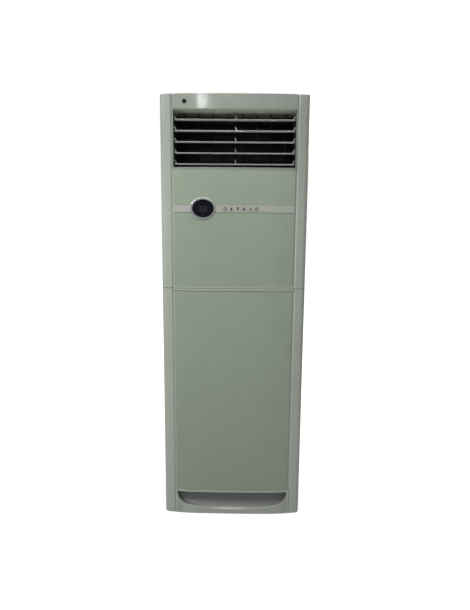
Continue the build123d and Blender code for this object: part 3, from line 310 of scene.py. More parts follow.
# ---------------------------------------------------------------- finishes
dust_colour = swatch(168, 163, 150)
dust_size, rub_size = 28.0, 45.0
dust_dullness, scuff_dullness, rub_shine = 0.3, 0.2, 0.08
rub_lift, rub_floor = 1.35, 0.02
scuff_reach, scuff_shade = 0.16, 0.55


def plastic(name, light, dark, patch=5.0, gloss=(0.38, 0.5), grain=900.0, depth=0.04 * MM,
            peel=0.2, dust=0.3, rub=0.35, scuff=0.0, edge=1.2 * MM, spread=0.6,
            **shader_values):
    """Moulded plastic or sprayed sheet: drifting tone, fine grain, soft edges, dust and rub."""
    finish, tree, shader = blank(name)
    tone = effect(tree, moulded_tone, Light=light, Dark=dark, Size=patch, Spread=spread)
    rubbed = effect(tree, edge_rub, Radius=edge, Size=rub_size)
    dusty = times(tree, effect(tree, settled_dust, Size=dust_size)["Mask"], dust)
    bright = [min(1.0, channel * rub_lift + rub_floor) for channel in light[:3]] + [1.0]
    colour = tint(tree, times(tree, rubbed["Mask"], rub), tone["Color"], bright)
    colour = tint(tree, dusty, colour, dust_colour)
    rough = between(tree, tone["Patch"], *gloss)
    rough = sums(tree, "SUBTRACT", rough, times(tree, rubbed["Mask"], rub_shine))
    rough = sums(tree, "MULTIPLY_ADD", dusty, dust_dullness, rough, clamp=True)
    if scuff:
        marks = times(tree, effect(tree, floor_scuff, Height=scuff_reach)["Mask"], scuff)
        colour = tint(tree, marks, colour, shaded(dark, scuff_shade))
        rough = sums(tree, "MULTIPLY_ADD", marks, scuff_dullness, rough, clamp=True)
    height = effect(tree, spark_grain, Size=grain, Peel=peel)["Height"]
    feed(tree, shader, Base_Color=colour, Roughness=rough,
         Normal=relief(tree, height, depth, rubbed["Normal"]), **shader_values)
    return finish


def gloss_sheet(name, light, dark):
    """Back painted clear panel, green grey under a hard gloss, with painted shade towards the
    floor.
    """
    shade_heights, shade, shade_share = (0.1, 1.1), 0.62, 0.4
    flake_edge, flake_share, rub_share = (0.55, 0.75), 0.12, 0.5
    wiped_gloss, ripple_depth = (0.16, 0.26), 0.9 * MM
    finish, tree, shader = blank(name)
    tone = effect(tree, moulded_tone, Light=light, Dark=dark, Size=1.6, Spread=0.55)
    wiped = effect(tree, wiped_smears, Size=4.0)["Mask"]
    rubbed = effect(tree, edge_rub, Radius=0.8 * MM, Size=40.0)
    speck = cloud(tree, place(tree), Scale=1500.0, Detail=2.0)
    flakes = times(tree, rise(tree, speck, *flake_edge), flake_share)
    colour = tint(tree, flakes, tone["Color"], light)
    # painted shade: the panel's colour darkens towards the floor, where less light falls
    low_shade_mask = opposite(tree, rise(tree, axes(tree, place(tree))["Z"], *shade_heights))
    colour = tint(tree, times(tree, low_shade_mask, shade_share), colour, shaded(light, shade))
    colour = tint(tree, times(tree, rubbed["Mask"], rub_share), colour, swatch(196, 202, 190))
    ripple = cloud(tree, place(tree), Scale=7.0, Detail=1.0)
    feed(tree, shader, Base_Color=colour, Roughness=between(tree, wiped, *wiped_gloss),
         Normal=relief(tree, ripple, ripple_depth, rubbed["Normal"]),
         Coat_Weight=0.6, Coat_Roughness=0.06)
    return finish


def polished_ring(name):
    """Plated trim: bright, with hairlines and a duller film in places."""
    line_gloss, line_depth, film_dullness = (0.1, 0.24), 0.01 * MM, 0.12
    finish, tree, shader = blank(name)
    lines = effect(tree, drawn_lines, Stretch=(1.0, 0.2, 1.0), Size=420.0)["Line"]
    film = effect(tree, wiped_smears, Size=30.0)["Mask"]
    colour = tint(tree, film, swatch(244, 246, 248), swatch(222, 225, 228))
    rough = sums(tree, "MULTIPLY_ADD", film, film_dullness, between(tree, lines, *line_gloss))
    feed(tree, shader, Base_Color=colour, Metallic=1.0, Roughness=rough,
         Normal=relief(tree, lines, line_depth))
    return finish


def smoked_lens(name, deep, sheen):
    """Smoked clear plastic in front of a dark display."""
    wiped_gloss, drift_depth = (0.07, 0.2), 0.06 * MM
    finish, tree, shader = blank(name)
    tone = effect(tree, moulded_tone, Light=deep, Dark=sheen, Size=22.0, Spread=0.8)
    wiped = effect(tree, wiped_smears, Size=18.0)["Mask"]
    feed(tree, shader, Base_Color=tone["Color"], Roughness=between(tree, wiped, *wiped_gloss),
         Normal=relief(tree, tone["Patch"], drift_depth), Specular_IOR_Level=0.3,
         Coat_Weight=0.1, Coat_Roughness=0.05)
    return finish


def zinc_spangle(name):
    """Galvanised sheet: flat crystals of a few shades, dull grease and scratches."""
    crystal_gloss, line_depth = (0.34, 0.5), 0.02 * MM
    grease_share, grease_dullness = 0.3, 0.15
    finish, tree, shader = blank(name)
    cells = put(tree, "ShaderNodeTexVoronoi", Vector=place(tree), Scale=85.0).outputs["Color"]
    shade = put(tree, "ShaderNodeSeparateColor", Color=cells).outputs["Red"]
    lines = effect(tree, drawn_lines, Stretch=(0.06, 1.0, 1.0), Size=700.0)["Line"]
    grease = effect(tree, moulded_tone, Size=7.0)["Patch"]
    rubbed = effect(tree, edge_rub, Radius=0.6 * MM, Size=80.0)
    colour = tint(tree, shade, swatch(142, 146, 148), swatch(176, 180, 182))
    colour = tint(tree, times(tree, grease, grease_share), colour, swatch(120, 120, 116))
    rough = sums(tree, "MULTIPLY_ADD", grease, grease_dullness,
                 between(tree, shade, *crystal_gloss))
    feed(tree, shader, Base_Color=colour, Metallic=1.0, Roughness=rough,
         Normal=relief(tree, lines, line_depth, rubbed["Normal"]))
    return finish


def bare_metal(name, light, dark, stretch, size=600.0, gloss=(0.24, 0.42), tarnish=0.35,
               patch=16.0):
    """Drawn or rolled metal with a patchy tarnish."""
    line_share, line_depth, tarnish_dullness = 0.25, 0.02 * MM, 0.1
    finish, tree, shader = blank(name)
    lines = effect(tree, drawn_lines, Stretch=stretch, Size=size)["Line"]
    tone = effect(tree, moulded_tone, Light=light, Dark=dark, Size=patch, Spread=tarnish)
    colour = tint(tree, times(tree, lines, line_share), tone["Color"], dark)
    rough = sums(tree, "MULTIPLY_ADD", tone["Patch"], tarnish_dullness,
                 between(tree, lines, *gloss))
    feed(tree, shader, Base_Color=colour, Metallic=1.0, Roughness=rough,
         Normal=relief(tree, lines, line_depth))
    return finish


def circuit_board(name):
    """Green lacquer over copper tracks."""
    track_share, track_depth, lacquer_gloss = 0.6, 0.04 * MM, (0.25, 0.4)
    finish, tree, shader = blank(name)
    upright = stretched(tree, Rotation=(math.radians(90), 0.0, 0.0))
    tracks = put(tree, "ShaderNodeTexBrick",
                 {"offset": 0.5, "squash": 0.7, "squash_frequency": 3}, Vector=upright,
                 Scale=90.0, Mortar_Size=0.06, Mortar_Smooth=0.2).outputs["Fac"]
    tone = effect(tree, moulded_tone, Light=swatch(46, 104, 66), Dark=swatch(30, 78, 48),
                  Size=40.0)
    colour = tint(tree, times(tree, tracks, track_share), tone["Color"], swatch(92, 138, 84))
    feed(tree, shader, Base_Color=colour, Normal=relief(tree, tracks, track_depth),
         Roughness=between(tree, tone["Patch"], *lacquer_gloss), Coat_Weight=0.3)
    return finish


def filter_mesh(name):
    """Woven filter net with lint in it, on a plain moulded frame of the same colour."""
    thread_pitch, thread_edge, weave_depth = 1.6 * MM, (0.3, 0.9), 0.2 * MM
    lint_share, lint_gloss = 0.35, (0.55, 0.8)
    finish, tree, shader = blank(name)
    spot = axes(tree, place(tree))
    threads = []
    for across in (spot["Y"], spot["Z"]):
        wave = sums(tree, "SINE", times(tree, across, 2 * math.pi / thread_pitch))
        threads.append(sums(tree, "ABSOLUTE", wave))
    weave = sums(tree, "MAXIMUM", *threads)
    lint = effect(tree, moulded_tone, Size=18.0)["Patch"]
    colour = tint(tree, rise(tree, weave, *thread_edge), swatch(20, 24, 28), swatch(74, 88, 100))
    colour = tint(tree, times(tree, lint, lint_share), colour, swatch(120, 118, 112))
    feed(tree, shader, Base_Color=colour, Roughness=between(tree, lint, *lint_gloss),
         Normal=relief(tree, weave, weave_depth))
    return finish


def printed_ink(name, colour, worn):
    """Screen printed ink, rubbed thin in places."""
    ink_gloss, rub_depth = (0.4, 0.6), 0.01 * MM
    finish, tree, shader = blank(name)
    tone = effect(tree, moulded_tone, Light=colour, Dark=worn, Size=400.0, Spread=0.6)
    feed(tree, shader, Base_Color=tone["Color"], Normal=relief(tree, tone["Patch"], rub_depth),
         Roughness=between(tree, tone["Patch"], *ink_gloss))
    return finish


def lcd_glass(name, deep, glow):
    """Unlit liquid crystal: a bluish grey film with a fine pixel grid."""
    pixel_pitch, grid_share = 0.5 * MM, 0.25
    glass_gloss, drift_depth = (0.12, 0.2), 0.03 * MM
    finish, tree, shader = blank(name)
    height = axes(tree, place(tree))["Z"]
    lines = sums(tree, "ABSOLUTE", sums(tree, "SINE", times(tree, height, math.pi / pixel_pitch)))
    tone = effect(tree, moulded_tone, Light=deep, Dark=glow, Size=70.0, Spread=0.9)
    colour = tint(tree, times(tree, lines, grid_share), tone["Color"], deep)
    feed(tree, shader, Base_Color=colour, Normal=relief(tree, tone["Patch"], drift_depth),
         Roughness=between(tree, tone["Patch"], *glass_gloss), Coat_Weight=0.3)
    return finish


def duct_shell(name, pale, dark):
    """Dark duct with painted light on its roof near the mouth, fading to painted shade further in.
    """
    painted_light_depth, fade_start = (6 * MM, 3 * MM), 40 * MM
    patch_shade, shell_gloss, grain_depth = 0.7, (0.5, 0.65), 0.04 * MM
    finish, tree, shader = blank(name)
    mouth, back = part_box("outlet_duct")
    spot = axes(tree, place(tree))
    roof = rise(tree, spot["Z"], *(back.z - step for step in painted_light_depth))
    inward = rise(tree, spot["Y"], mouth.y + fade_start, back.y)
    tone = effect(tree, moulded_tone, Light=dark, Dark=shaded(dark, patch_shade),
                  Size=12.0)
    rubbed = effect(tree, edge_rub, Radius=1.0 * MM, Size=rub_size)
    painted_light_mask = times(tree, roof, opposite(tree, inward))
    grain = effect(tree, spark_grain, Size=900.0, Peel=0.2)["Height"]
    feed(tree, shader, Base_Color=tint(tree, painted_light_mask, tone["Color"], pale),
         Roughness=between(tree, tone["Patch"], *shell_gloss),
         Normal=relief(tree, grain, grain_depth, rubbed["Normal"]))
    return finish


def overlay(finish, amount, tone):
    """Lays a second tone over a finish as strongly as a mask says."""
    tree = finish.node_tree
    shader = tree.nodes["Principled BSDF"]
    painted = shader.inputs["Base Color"].links[0].from_socket
    feed(tree, shader, Base_Color=tint(tree, amount, painted, tone))
    return finish


def painted_top_shade(finish, tone, low, high):
    """Darkens a moulding with height: painted shade towards its top."""
    tree = finish.node_tree
    return overlay(finish, rise(tree, axes(tree, place(tree))["Z"], low, high), tone)


def painted_light_below(finish, pale, lowest=0.0):
    """Paints light over what faces down above a height: undersides painted paler, as if lit from
    below.
    """
    down_edge, step = (-0.9, -0.4), 5 * MM
    tree = finish.node_tree
    down = opposite(tree, rise(tree, axes(tree, facing(tree))["Z"], *down_edge))
    above = rise(tree, axes(tree, place(tree))["Z"], lowest, lowest + step)
    return overlay(finish, times(tree, down, above), pale)


def plinth_plastic(name, light, dark, recess_shade_tone):
    """The lower moulding: column plastic, with painted shade making it darker and greyer in the
    recess at the foot.
    """
    recess_start = (4 * MM, 12 * MM)           # behind the front
    recess_top = (101 * MM, 103 * MM)          # above the lower edge
    recess_side = (60 * MM, 56 * MM)           # in from each side
    finish = plastic(name, light, dark, gloss=(0.34, 0.44), scuff=0.15, patch=4.0, spread=0.5,
                     Coat_Weight=0.2, Coat_Roughness=0.15)
    tree = finish.node_tree
    low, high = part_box("lower_front_frame")
    spot = axes(tree, place(tree))
    aside = sums(tree, "ABSOLUTE", spot["X"])
    behind = rise(tree, spot["Y"], *(low.y + step for step in recess_start))
    under = opposite(tree, rise(tree, spot["Z"], *(low.z + step for step in recess_top)))
    across = opposite(tree, rise(tree, aside, *(high.x - step for step in recess_side)))
    # painted shade: the recess under the lower panel's lip is painted darker and greyer
    return overlay(finish, times(tree, across, times(tree, behind, under)), recess_shade_tone)


painted_light_reach = 40 * MM                         # how far below the duct's roof the painted light on the header's underside reaches
top_shade_low, top_shade_high = 1.3, 1.75                # heights between which painted shade darkens the columns
column_gloss = {"gloss": (0.3, 0.4), "patch": 4.0, "spread": 0.5, "Coat_Weight": 0.35}
dull_black = {"patch": 12.0, "dust": 0.1, "rub": 0.0}
# painted light: a near white for undersides near the outlet, brighter than the plastic itself
painted_light_white = swatch(246, 254, 234)

finishes = {
    "column_plastic": plastic(
        "column_plastic", swatch(168, 175, 163), swatch(159, 166, 154), scuff=0.35,
        Coat_Roughness=0.12, **column_gloss),
    "gloss_panel": gloss_sheet("gloss_panel", swatch(158, 171, 152), swatch(148, 161, 143)),
    "strip_plastic": plastic(
        "strip_plastic", swatch(175, 178, 170), swatch(167, 171, 163), gloss=(0.42, 0.5),
        grain=1300.0, depth=0.03 * MM, dust=0.15),
    "button_plastic": plastic(
        "button_plastic", swatch(186, 188, 179), swatch(176, 178, 170), gloss=(0.32, 0.44),
        grain=1500.0, depth=0.02 * MM, patch=60.0, dust=0.1, edge=0.8 * MM),
    "bright_ring": polished_ring("bright_ring"),
    "dark_lens": smoked_lens("dark_lens", swatch(3, 5, 12), swatch(6, 9, 18)),
    # painted light: the louvres' undersides are painted paler than their tops, as if lit from below
    "louver_plastic": painted_light_below(
        plastic("louver_plastic", swatch(126, 128, 125), swatch(113, 116, 112),
                gloss=(0.42, 0.55), patch=9.0, dust=0.5, rub=0.5),
        swatch(205, 208, 202)),
    "outlet_dark": plastic(
        "outlet_dark", swatch(20, 20, 23), swatch(15, 15, 18), gloss=(0.6, 0.75),
        **dull_black),
    "case_paint": plastic(
        "case_paint", swatch(180, 183, 174), swatch(170, 174, 165), gloss=(0.36, 0.46),
        grain=520.0, depth=0.08 * MM, peel=0.7, patch=3.0, scuff=0.3),
    "zinc_sheet": zinc_spangle("zinc_sheet"),
    "fin_aluminium": bare_metal(
        "fin_aluminium", swatch(202, 205, 208), swatch(164, 168, 170), (1.0, 1.0, 0.04)),
    "copper_tube": bare_metal(
        "copper_tube", swatch(196, 122, 84), swatch(122, 74, 52), (1.0, 0.3, 0.3),
        gloss=(0.22, 0.38), tarnish=0.6, patch=30.0),
    "pan_plastic": plastic("pan_plastic", swatch(58, 60, 60), swatch(44, 46, 46), dust=0.5),
    "fan_plastic": plastic(
        "fan_plastic", swatch(98, 100, 98), swatch(82, 84, 83), dust=0.45, patch=10.0),
    "motor_paint": plastic(
        "motor_paint", swatch(50, 52, 54), swatch(36, 38, 40), gloss=(0.28, 0.4), peel=0.6,
        grain=600.0, rub=0.5),
    "board": circuit_board("board"),
    "filter_net": filter_mesh("filter_net"),
    "rubber": plastic(
        "rubber", swatch(40, 40, 40), swatch(28, 28, 28), gloss=(0.62, 0.78), grain=700.0,
        depth=0.08 * MM, dust=0.4, rub=0.25),
    "screw_steel": bare_metal(
        "screw_steel", swatch(168, 168, 164), swatch(112, 110, 104), (1.0, 1.0, 1.0),
        size=900.0, tarnish=0.5, patch=90.0),
}
# Pieces whose finish differs from the rest of their slot.
own_finishes = {
    # painted light on the duct's roof near its mouth, fading into painted shade further in
    "outlet_duct": duct_shell("duct_shell", painted_light_white, swatch(62, 62, 70)),
    # the header: a darkened copy of the column plastic as painted shade, with painted light on its
    # underside
    "outlet_frame": painted_light_below(
        plastic("header_shaded_plastic", swatch(138, 143, 134), swatch(131, 136, 127),
                Coat_Roughness=0.1, **column_gloss),
        painted_light_white, lowest=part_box("outlet_duct")[1].z - painted_light_reach),
    # upper columns: a lighter copy of the column plastic as painted light, with painted shade
    # towards the top
    "upper_front_frame": painted_top_shade(
        plastic("upper_column_plastic", swatch(174, 181, 169), swatch(165, 172, 160),
                Coat_Roughness=0.12, **column_gloss),
        swatch(146, 152, 143), top_shade_low, top_shade_high),
    "lower_front_frame": plinth_plastic(
        "plinth_plastic", swatch(176, 182, 171), swatch(167, 173, 162), swatch(122, 125, 123)),
    "air_deflector": plastic(
        "deflector_shell", swatch(54, 54, 62), swatch(42, 42, 50), gloss=(0.5, 0.65),
        **dull_black),
    "ir_receiver_lens": plastic(
        "receiver_lens", swatch(12, 12, 14), swatch(8, 8, 10), gloss=(0.5, 0.6), patch=40.0,
        dust=0.0, rub=0.0, Specular_IOR_Level=0.2),
}
for subpart in frame["record"]["subparts"]:
    node = subpart["node"]
    for holder in nodes[node].material_slots:
        holder.material = own_finishes.get(node, finishes[subpart["material_slot"]])


# ---------------------------------------------------------------- tools for new pieces
def points(geometry):
    """The vertices among an operator's results."""
    return [item for item in geometry if isinstance(item, bmesh.types.BMVert)]


def edges_of(geometry):
    """The edges among an operator's results."""
    return [item for item in geometry if isinstance(item, bmesh.types.BMEdge)]


def open_edges(geometry):
    """The edges among them that have a face on one side only."""
    return [edge for edge in edges_of(geometry) if edge.is_boundary]


def as_mesh(shape, name):
    """Turns a finished bmesh into a mesh."""
    mesh = bpy.data.meshes.new(name)
    shape.to_mesh(mesh)
    shape.free()
    return mesh


def pour(shape, other):
    """Adds another bmesh to a shape."""
    carrier = as_mesh(other, "carrier")
    shape.from_mesh(carrier)
    bpy.data.meshes.remove(carrier)


def keep(shape, name, body, finish, smooth=True):
    """Turns a finished bmesh into a piece that rides on a body."""
    merge_distance, crease = 0.001 * MM, math.radians(35)
    bmesh.ops.remove_doubles(shape, verts=shape.verts, dist=merge_distance)
    bmesh.ops.recalc_face_normals(shape, faces=shape.faces)
    mesh = as_mesh(shape, name)
    mesh.materials.append(finish)
    piece = bpy.data.objects.new(name, mesh)
    bpy.context.scene.collection.objects.link(piece)
    if smooth:
        mesh.shade_smooth()
        mesh.set_sharp_from_angle(angle=crease)
    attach(piece, body)
    return piece


def thicken(shape, faces, amount):
    """Extrudes flat faces along -Y and closes them into plates."""
    grown = bmesh.ops.extrude_face_region(shape, geom=faces)["geom"]
    bmesh.ops.translate(shape, verts=points(grown), vec=(0, -amount, 0))


def draw_out(shape, edges, scale=(1, 1, 1), shift=(0, 0, 0)):
    """Extrudes edges, scales the new ones about the origin and shifts them."""
    grown = bmesh.ops.extrude_edge_only(shape, edges=edges)["geom"]
    bmesh.ops.scale(shape, verts=points(grown), vec=scale)
    bmesh.ops.translate(shape, verts=points(grown), vec=shift)
    return grown


def print_on(shape, middle, depth, name, body, finish):
    """Stands a flat shape upright, facing -Y, with its middle at a point, as a thin layer."""
    upright = Matrix.Translation(middle) @ Matrix.Rotation(math.radians(90), 4, "X")
    bmesh.ops.transform(shape, matrix=upright, verts=shape.verts)
    thicken(shape, shape.faces[:], depth)
    return keep(shape, name, body, finish, smooth=False)


def laid(centre, stretch, turn=0.0):
    """Puts, turns and stretches a shape on the XY plane."""
    return (Matrix.Translation((*centre, 0)) @ Matrix.Rotation(turn, 4, "Z")
            @ Matrix.Diagonal((*stretch, 1, 1)))


def dot(shape, centre, radius, sides=24, stretch=(1.0, 1.0), turn=0.0):
    """A filled polygon on the XY plane."""
    bmesh.ops.create_circle(shape, cap_ends=True, segments=sides, radius=radius,
                            matrix=laid(centre, stretch, turn))


def bar(shape, centre, length, width, turn=0.0):
    """A filled rectangle on the XY plane."""
    return bmesh.ops.create_grid(shape, x_segments=1, y_segments=1, size=0.5,
                                 matrix=laid(centre, (length, width), turn))["verts"]


def arc(shape, centre, radius, width, start, sweep, steps=28):
    """Part of a flat ring, spun from a short radial line. Angles in degrees, from +X."""
    ends = [shape.verts.new((centre[0] + reach, centre[1], 0))
            for reach in (radius - width / 2, radius + width / 2)]
    line = shape.edges.new(ends)
    middle = (*centre, 0)
    bmesh.ops.rotate(shape, verts=ends, cent=middle,
                     matrix=Matrix.Rotation(math.radians(start), 3, "Z"))
    bmesh.ops.spin(shape, geom=[line, *ends], cent=middle, axis=(0, 0, 1),
                   angle=math.radians(sweep), steps=steps, use_merge=sweep == 360)


def rounded_plate(shape, centre, width, height, corner):
    """A flat plate with round corners on the XY plane."""
    bmesh.ops.bevel(shape, geom=bar(shape, centre, width, height), offset=corner,
                    offset_type="OFFSET", affect="VERTICES", segments=5, profile=0.5,
                    material=-1)


# ---------------------------------------------------------------- symbols on the six buttons
button_ink = printed_ink("button_ink", swatch(34, 36, 35), swatch(58, 61, 59))
ink_depth = 0.05 * MM
symbol_scale = 1.85        # the symbols are drawn in a field of about 8 mm, then enlarged
up_turn = math.radians(90)


def power_symbol(shape):
    """A ring open at the top, with a bar in the gap."""
    arc(shape, (0, 0), radius=3.0 * MM, width=1.4 * MM, start=120, sweep=300)
    bar(shape, (0, 1.9 * MM), length=1.4 * MM, width=3.6 * MM)


def arrow_symbol(shape, way):
    """A triangle over a bar that points up (1) or down (-1)."""
    dot(shape, (0, way * 0.1 * MM), radius=3.7 * MM, sides=3, turn=way * up_turn)
    bar(shape, (0, way * -2.9 * MM), length=5.4 * MM, width=1.3 * MM)


def warmer_symbol(shape):
    arrow_symbol(shape, 1)


def cooler_symbol(shape):
    arrow_symbol(shape, -1)


def fan_symbol(shape):
    """Three oval blades round a hub."""
    reach, lean = 2.0 * MM, math.radians(28)
    for blade in range(3):
        turn = up_turn + blade * math.radians(120)
        dot(shape, (reach * math.cos(turn), reach * math.sin(turn)), radius=1.8 * MM,
            stretch=(1.0, 0.8), turn=turn + lean)
    dot(shape, (0, 0), radius=0.8 * MM, sides=16)


def swing_symbol(shape):
    """Three slanted louvres."""
    spacing, lean = 2.3 * MM, math.radians(14)
    for level in (-1, 0, 1):
        bar(shape, (0, level * spacing), length=5.2 * MM, width=1.2 * MM, turn=lean)


def timer_symbol(shape):
    """A clock face with two hands."""
    arc(shape, (0, 0), radius=3.1 * MM, width=1.2 * MM, start=0, sweep=360)
    bar(shape, (0, 0.9 * MM), length=1.1 * MM, width=2.4 * MM)
    bar(shape, (0.9 * MM, 0), length=2.2 * MM, width=1.1 * MM)


symbols = (power_symbol, warmer_symbol, cooler_symbol, fan_symbol, swing_symbol, timer_symbol)
for number, draw in enumerate(symbols, start=1):
    low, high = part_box(f"button_{number}")
    ink = bmesh.new()
    draw(ink)
    bmesh.ops.scale(ink, verts=ink.verts, vec=(symbol_scale, symbol_scale, 1))
    print_on(ink, ((low.x + high.x) / 2, low.y, (low.z + high.z) / 2), ink_depth,
             f"button_symbol_{number}", f"button_{number}", button_ink)

# ---------------------------------------------------------------- display behind the smoked lens
lens_low, lens_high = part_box("display_lens")
lens_mid = (lens_low + lens_high) / 2
lens_face = lens_low.y
lcd_film = lcd_glass("lcd_film", swatch(16, 18, 30), swatch(22, 25, 38))
segment_tone = printed_ink("lcd_segments", swatch(18, 20, 32), swatch(22, 24, 37))
sensor_tone = printed_ink("sensor_window", swatch(26, 29, 30), swatch(36, 39, 40))

lcd_x, lcd_y = 0.5 * MM, -2.6 * MM            # from the middle of the lens
lcd_width, lcd_height, lcd_corner = 34 * MM, 27 * MM, 1.2 * MM
lcd_depth, segment_depth, sensor_depth = 0.05 * MM, 0.03 * MM, 0.04 * MM


def print_on_lens(shape, name, finish, depth, stand=0.0):
    """A thin layer on the lens, this far proud of its face."""
    print_on(shape, (lens_mid.x, lens_face - stand, lens_mid.z), depth, name, "cabinet",
             finish)


lcd = bmesh.new()
rounded_plate(lcd, (lcd_x, lcd_y), lcd_width, lcd_height, lcd_corner)
print_on_lens(lcd, "lcd_window", lcd_film, lcd_depth)

segments = bmesh.new()
digit_width, digit_height, stroke, lean = 5.6 * MM, 5.0 * MM, 1.0 * MM, math.radians(6)
digit_step, digit_drop = 5.0 * MM, 2.6 * MM
segment_gap = 1.2 * stroke
for digit in (-1, 1):
    digit_x, digit_y = lcd_x + digit * digit_step, lcd_y - digit_drop
    for level in (-1, 0, 1):
        lift = level * digit_height
        bar(segments, (digit_x + lift * math.tan(lean), digit_y + lift),
            digit_width - segment_gap, stroke)
    for side in (-1, 1):
        for level in (-0.5, 0.5):
            lift = level * digit_height
            bar(segments, (digit_x + side * digit_width / 2 + lift * math.tan(lean),
                           digit_y + lift),
                stroke, digit_height - segment_gap, turn=-lean)
mark_count, mark_step, mark_lift, mark_radius = 4, 7.2 * MM, 9.6 * MM, 1.5 * MM
for mark in range(mark_count):
    dot(segments, (lcd_x + (mark - (mark_count - 1) / 2) * mark_step, lcd_y + mark_lift),
        mark_radius, sides=6)
print_on_lens(segments, "lcd_segments", segment_tone, segment_depth, stand=lcd_depth)

sensor = bmesh.new()
sensor_x, sensor_y = -0.5 * MM, -27.0 * MM
sensor_radius, sensor_stretch = 4.6 * MM, (1.0, 0.5)
dot(sensor, (sensor_x, sensor_y), sensor_radius, sides=32, stretch=sensor_stretch)
print_on_lens(sensor, "room_sensor_window", sensor_tone, sensor_depth)

# ---------------------------------------------------------------- pan head screws of the rear panel
screw_low, screw_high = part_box("case_screws")
case_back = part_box("rear_panel")[1].y
head_height = screw_high.y - case_back
head_radius = 4.0 * MM
shank_share, shank_length = 0.45, 7 * MM
recess_arm, recess_width = 1.3 * MM, 1.0 * MM
# Shares of the head's height: the recess, its brink, the straight edge and the dome.
recess_sink, brink_level, edge_rise, dome_rise = 0.7, 0.5, 0.55, 0.36
dome_share = 0.74          # width of the dome's flat top
row_count = 5
row_low, row_high = screw_low.z + head_radius, screw_high.z - head_radius
column_x = screw_high.x - head_radius


def cross_recess():
    """The flat cross of the screw's recess: a square with four arms."""
    cross = bmesh.new()
    bar(cross, (0, 0), recess_width, recess_width)
    for edge in [edge for face in cross.faces for edge in face.edges]:
        outward = (edge.verts[0].co + edge.verts[1].co).normalized() * recess_arm
        draw_out(cross, [edge], shift=outward)
    return cross


def pan_head(shape, centre):
    """One screw: domed head with a crosswise recess, facing +Y, and its shank."""
    one = bmesh.new()
    rim = bmesh.ops.create_circle(one, cap_ends=False, segments=24,
                                  radius=head_radius)["verts"]
    rim_edges = one.edges[:]
    pour(one, cross_recess())
    cross = one.faces[:]
    bmesh.ops.translate(one, verts=[point for point in one.verts if point not in rim],
                        vec=(0, 0, head_height))
    cut = bmesh.ops.extrude_face_region(one, geom=cross)["geom"]
    bmesh.ops.translate(one, verts=points(cut), vec=(0, 0, -recess_sink * head_height))
    bmesh.ops.delete(one, geom=[face for face in cross if face.is_valid],
                     context="FACES_KEEP_BOUNDARY")
    brink = [edge for edge in one.edges if edge.is_boundary and edge not in rim_edges
             and min(point.co.z for point in edge.verts) > brink_level * head_height]
    shoulder = draw_out(one, rim_edges, shift=(0, 0, edge_rise * head_height))
    crown = draw_out(one, open_edges(shoulder), scale=(dome_share, dome_share, 1),
                     shift=(0, 0, dome_rise * head_height))
    bmesh.ops.bridge_loops(one, edges=open_edges(crown) + brink)
    neck = draw_out(one, [edge for edge in rim_edges if edge.is_valid],
                    scale=(shank_share, shank_share, 1))
    tip = draw_out(one, open_edges(neck), shift=(0, 0, -shank_length))
    bmesh.ops.contextual_create(one, geom=edges_of(tip))
    stand = Matrix.Translation(centre) @ Matrix.Rotation(math.radians(-90), 4, "X")
    bmesh.ops.transform(one, matrix=stand, verts=one.verts)
    pour(shape, one)


screws = bmesh.new()
for side in (-1, 1):
    for row in range(row_count):
        row_z = row_low + (row_high - row_low) * row / (row_count - 1)
        pan_head(screws, (side * column_x, case_back, row_z))
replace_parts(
    keep(screws, "pan_head_screws", "cabinet", finishes["screw_steel"]),
    "case_screws")


# ---------------------------------------------------------------- floor, light and camera
def for_camera(tree):
    """1 where the camera looks, 0 where light bounces."""
    return tree.nodes.new("ShaderNodeLightPath").outputs["Is Camera Ray"]


def floor_finish():
    """White studio sweep that glows a little near and fully far away, so no horizon shows."""
    glow_reach, glow_near = (0.4, 2.0), 0.78
    finish, tree, shader = blank("pale_floor")
    tone = effect(tree, moulded_tone, Light=(0.34, 0.34, 0.34, 1), Dark=(0.31, 0.31, 0.31, 1),
                  Size=0.8, Spread=0.5)
    away = put(tree, "ShaderNodeVectorMath", {"operation": "LENGTH"}, Vector=place(tree))
    glow = between(tree, rise(tree, away.outputs["Value"], *glow_reach), glow_near, 1.0)
    feed(tree, shader, Base_Color=tone["Color"], Roughness=0.8, Emission_Color=(1, 1, 1, 1),
         Emission_Strength=times(tree, glow, for_camera(tree)))
    return finish


floor_radius = 30.0
ground = bmesh.new()
bmesh.ops.create_circle(ground, cap_ends=True, segments=96, radius=floor_radius)
floor_mesh = as_mesh(ground, "studio_floor")
floor_mesh.materials.append(floor_finish())
studio_floor = bpy.data.objects.new("studio_floor", floor_mesh)
bpy.context.scene.collection.objects.link(studio_floor)


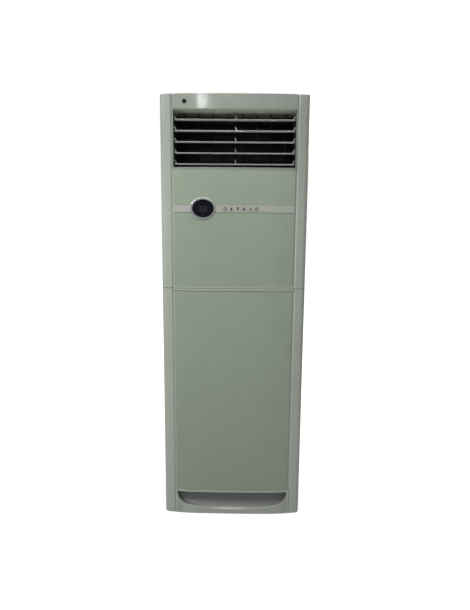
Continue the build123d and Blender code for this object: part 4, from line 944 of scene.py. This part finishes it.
def soft_box(name, stand, aim, size, watts, spread=180):
    """A rectangular lamp that faces a point, with its beam's width in degrees."""
    lamp = bpy.data.lights.new(name, "AREA")
    lamp.shape = "RECTANGLE"
    lamp.size, lamp.size_y = size
    lamp.energy = watts
    lamp.spread = math.radians(spread)
    holder = bpy.data.objects.new(name, lamp)
    bpy.context.scene.collection.objects.link(holder)
    holder.location = stand
    holder.rotation_mode = "QUATERNION"
    holder.rotation_quaternion = (Vector(aim) - Vector(stand)).to_track_quat("-Z", "Y")


soft_box("left_key", (-1.8, -1.5, 2.9), (0, 0, 1.5), (1.0, 1.0), 45)
soft_box("low_left_fill", (-2.4, -2.2, 0.8), (0, 0, 0.8), (1.2, 1.2), 5.5)
soft_box("window_light", (-0.475, -3.15, 2.53), (-0.1, -0.18, 1.77), (0.18, 0.14), 4.0)
soft_box("floor_bounce", (0, -2.6, 0.4), (0, -0.15, 1.76), (0.5, 0.12), 0.11, spread=12)
soft_box("rear_fill", (1.8, 3.2, 2.8), (0, 0, 0.9), (2.0, 1.4), 60)
soft_box("ceiling", (0, -0.6, 3.6), (0, -0.4, 0), (2.4, 2.0), 64)

room_edge, room_low, room_high = (-0.3, 0.8), 0.21, 0.40
world = bpy.data.worlds.new("pale_room")
bpy.context.scene.world = world
world.use_nodes = True
room = world.node_tree
background = room.nodes["Background"]
looked_at = room.nodes.new("ShaderNodeTexCoord").outputs["Generated"]
walls = between(room, rise(room, axes(room, looked_at)["Z"], *room_edge), room_low, room_high)
feed(room, background, Color=(1, 1, 1, 1), Strength=between(room, for_camera(room), walls, 1.0))

scene = bpy.context.scene
scene.view_settings.view_transform = "Standard"
scene.view_settings.look = "None"

# The camera that was fitted to the photograph: height and focal length in its pixels.
photo_height, focal_pixels, sensor_size = 610.0, 477.4, 36.0
camera_stand = (0.0222, -2.1525, 1.2595)
yaw, pitch, roll = math.radians(0.446), math.radians(8.884), math.radians(0.47)
lens = bpy.data.cameras.new("photo_camera")
lens.sensor_fit = "VERTICAL"
lens.sensor_width = lens.sensor_height = sensor_size
lens.lens = focal_pixels / photo_height * sensor_size
lens.dof.use_dof = False
camera = bpy.data.objects.new("photo_camera", lens)
scene.collection.objects.link(camera)
aim = (Matrix.Rotation(yaw, 4, "Z") @ Matrix.Rotation(math.radians(90) - pitch, 4, "X")
       @ Matrix.Rotation(roll, 4, "Z"))
camera.matrix_world = Matrix.Translation(camera_stand) @ aim
scene.camera = camera
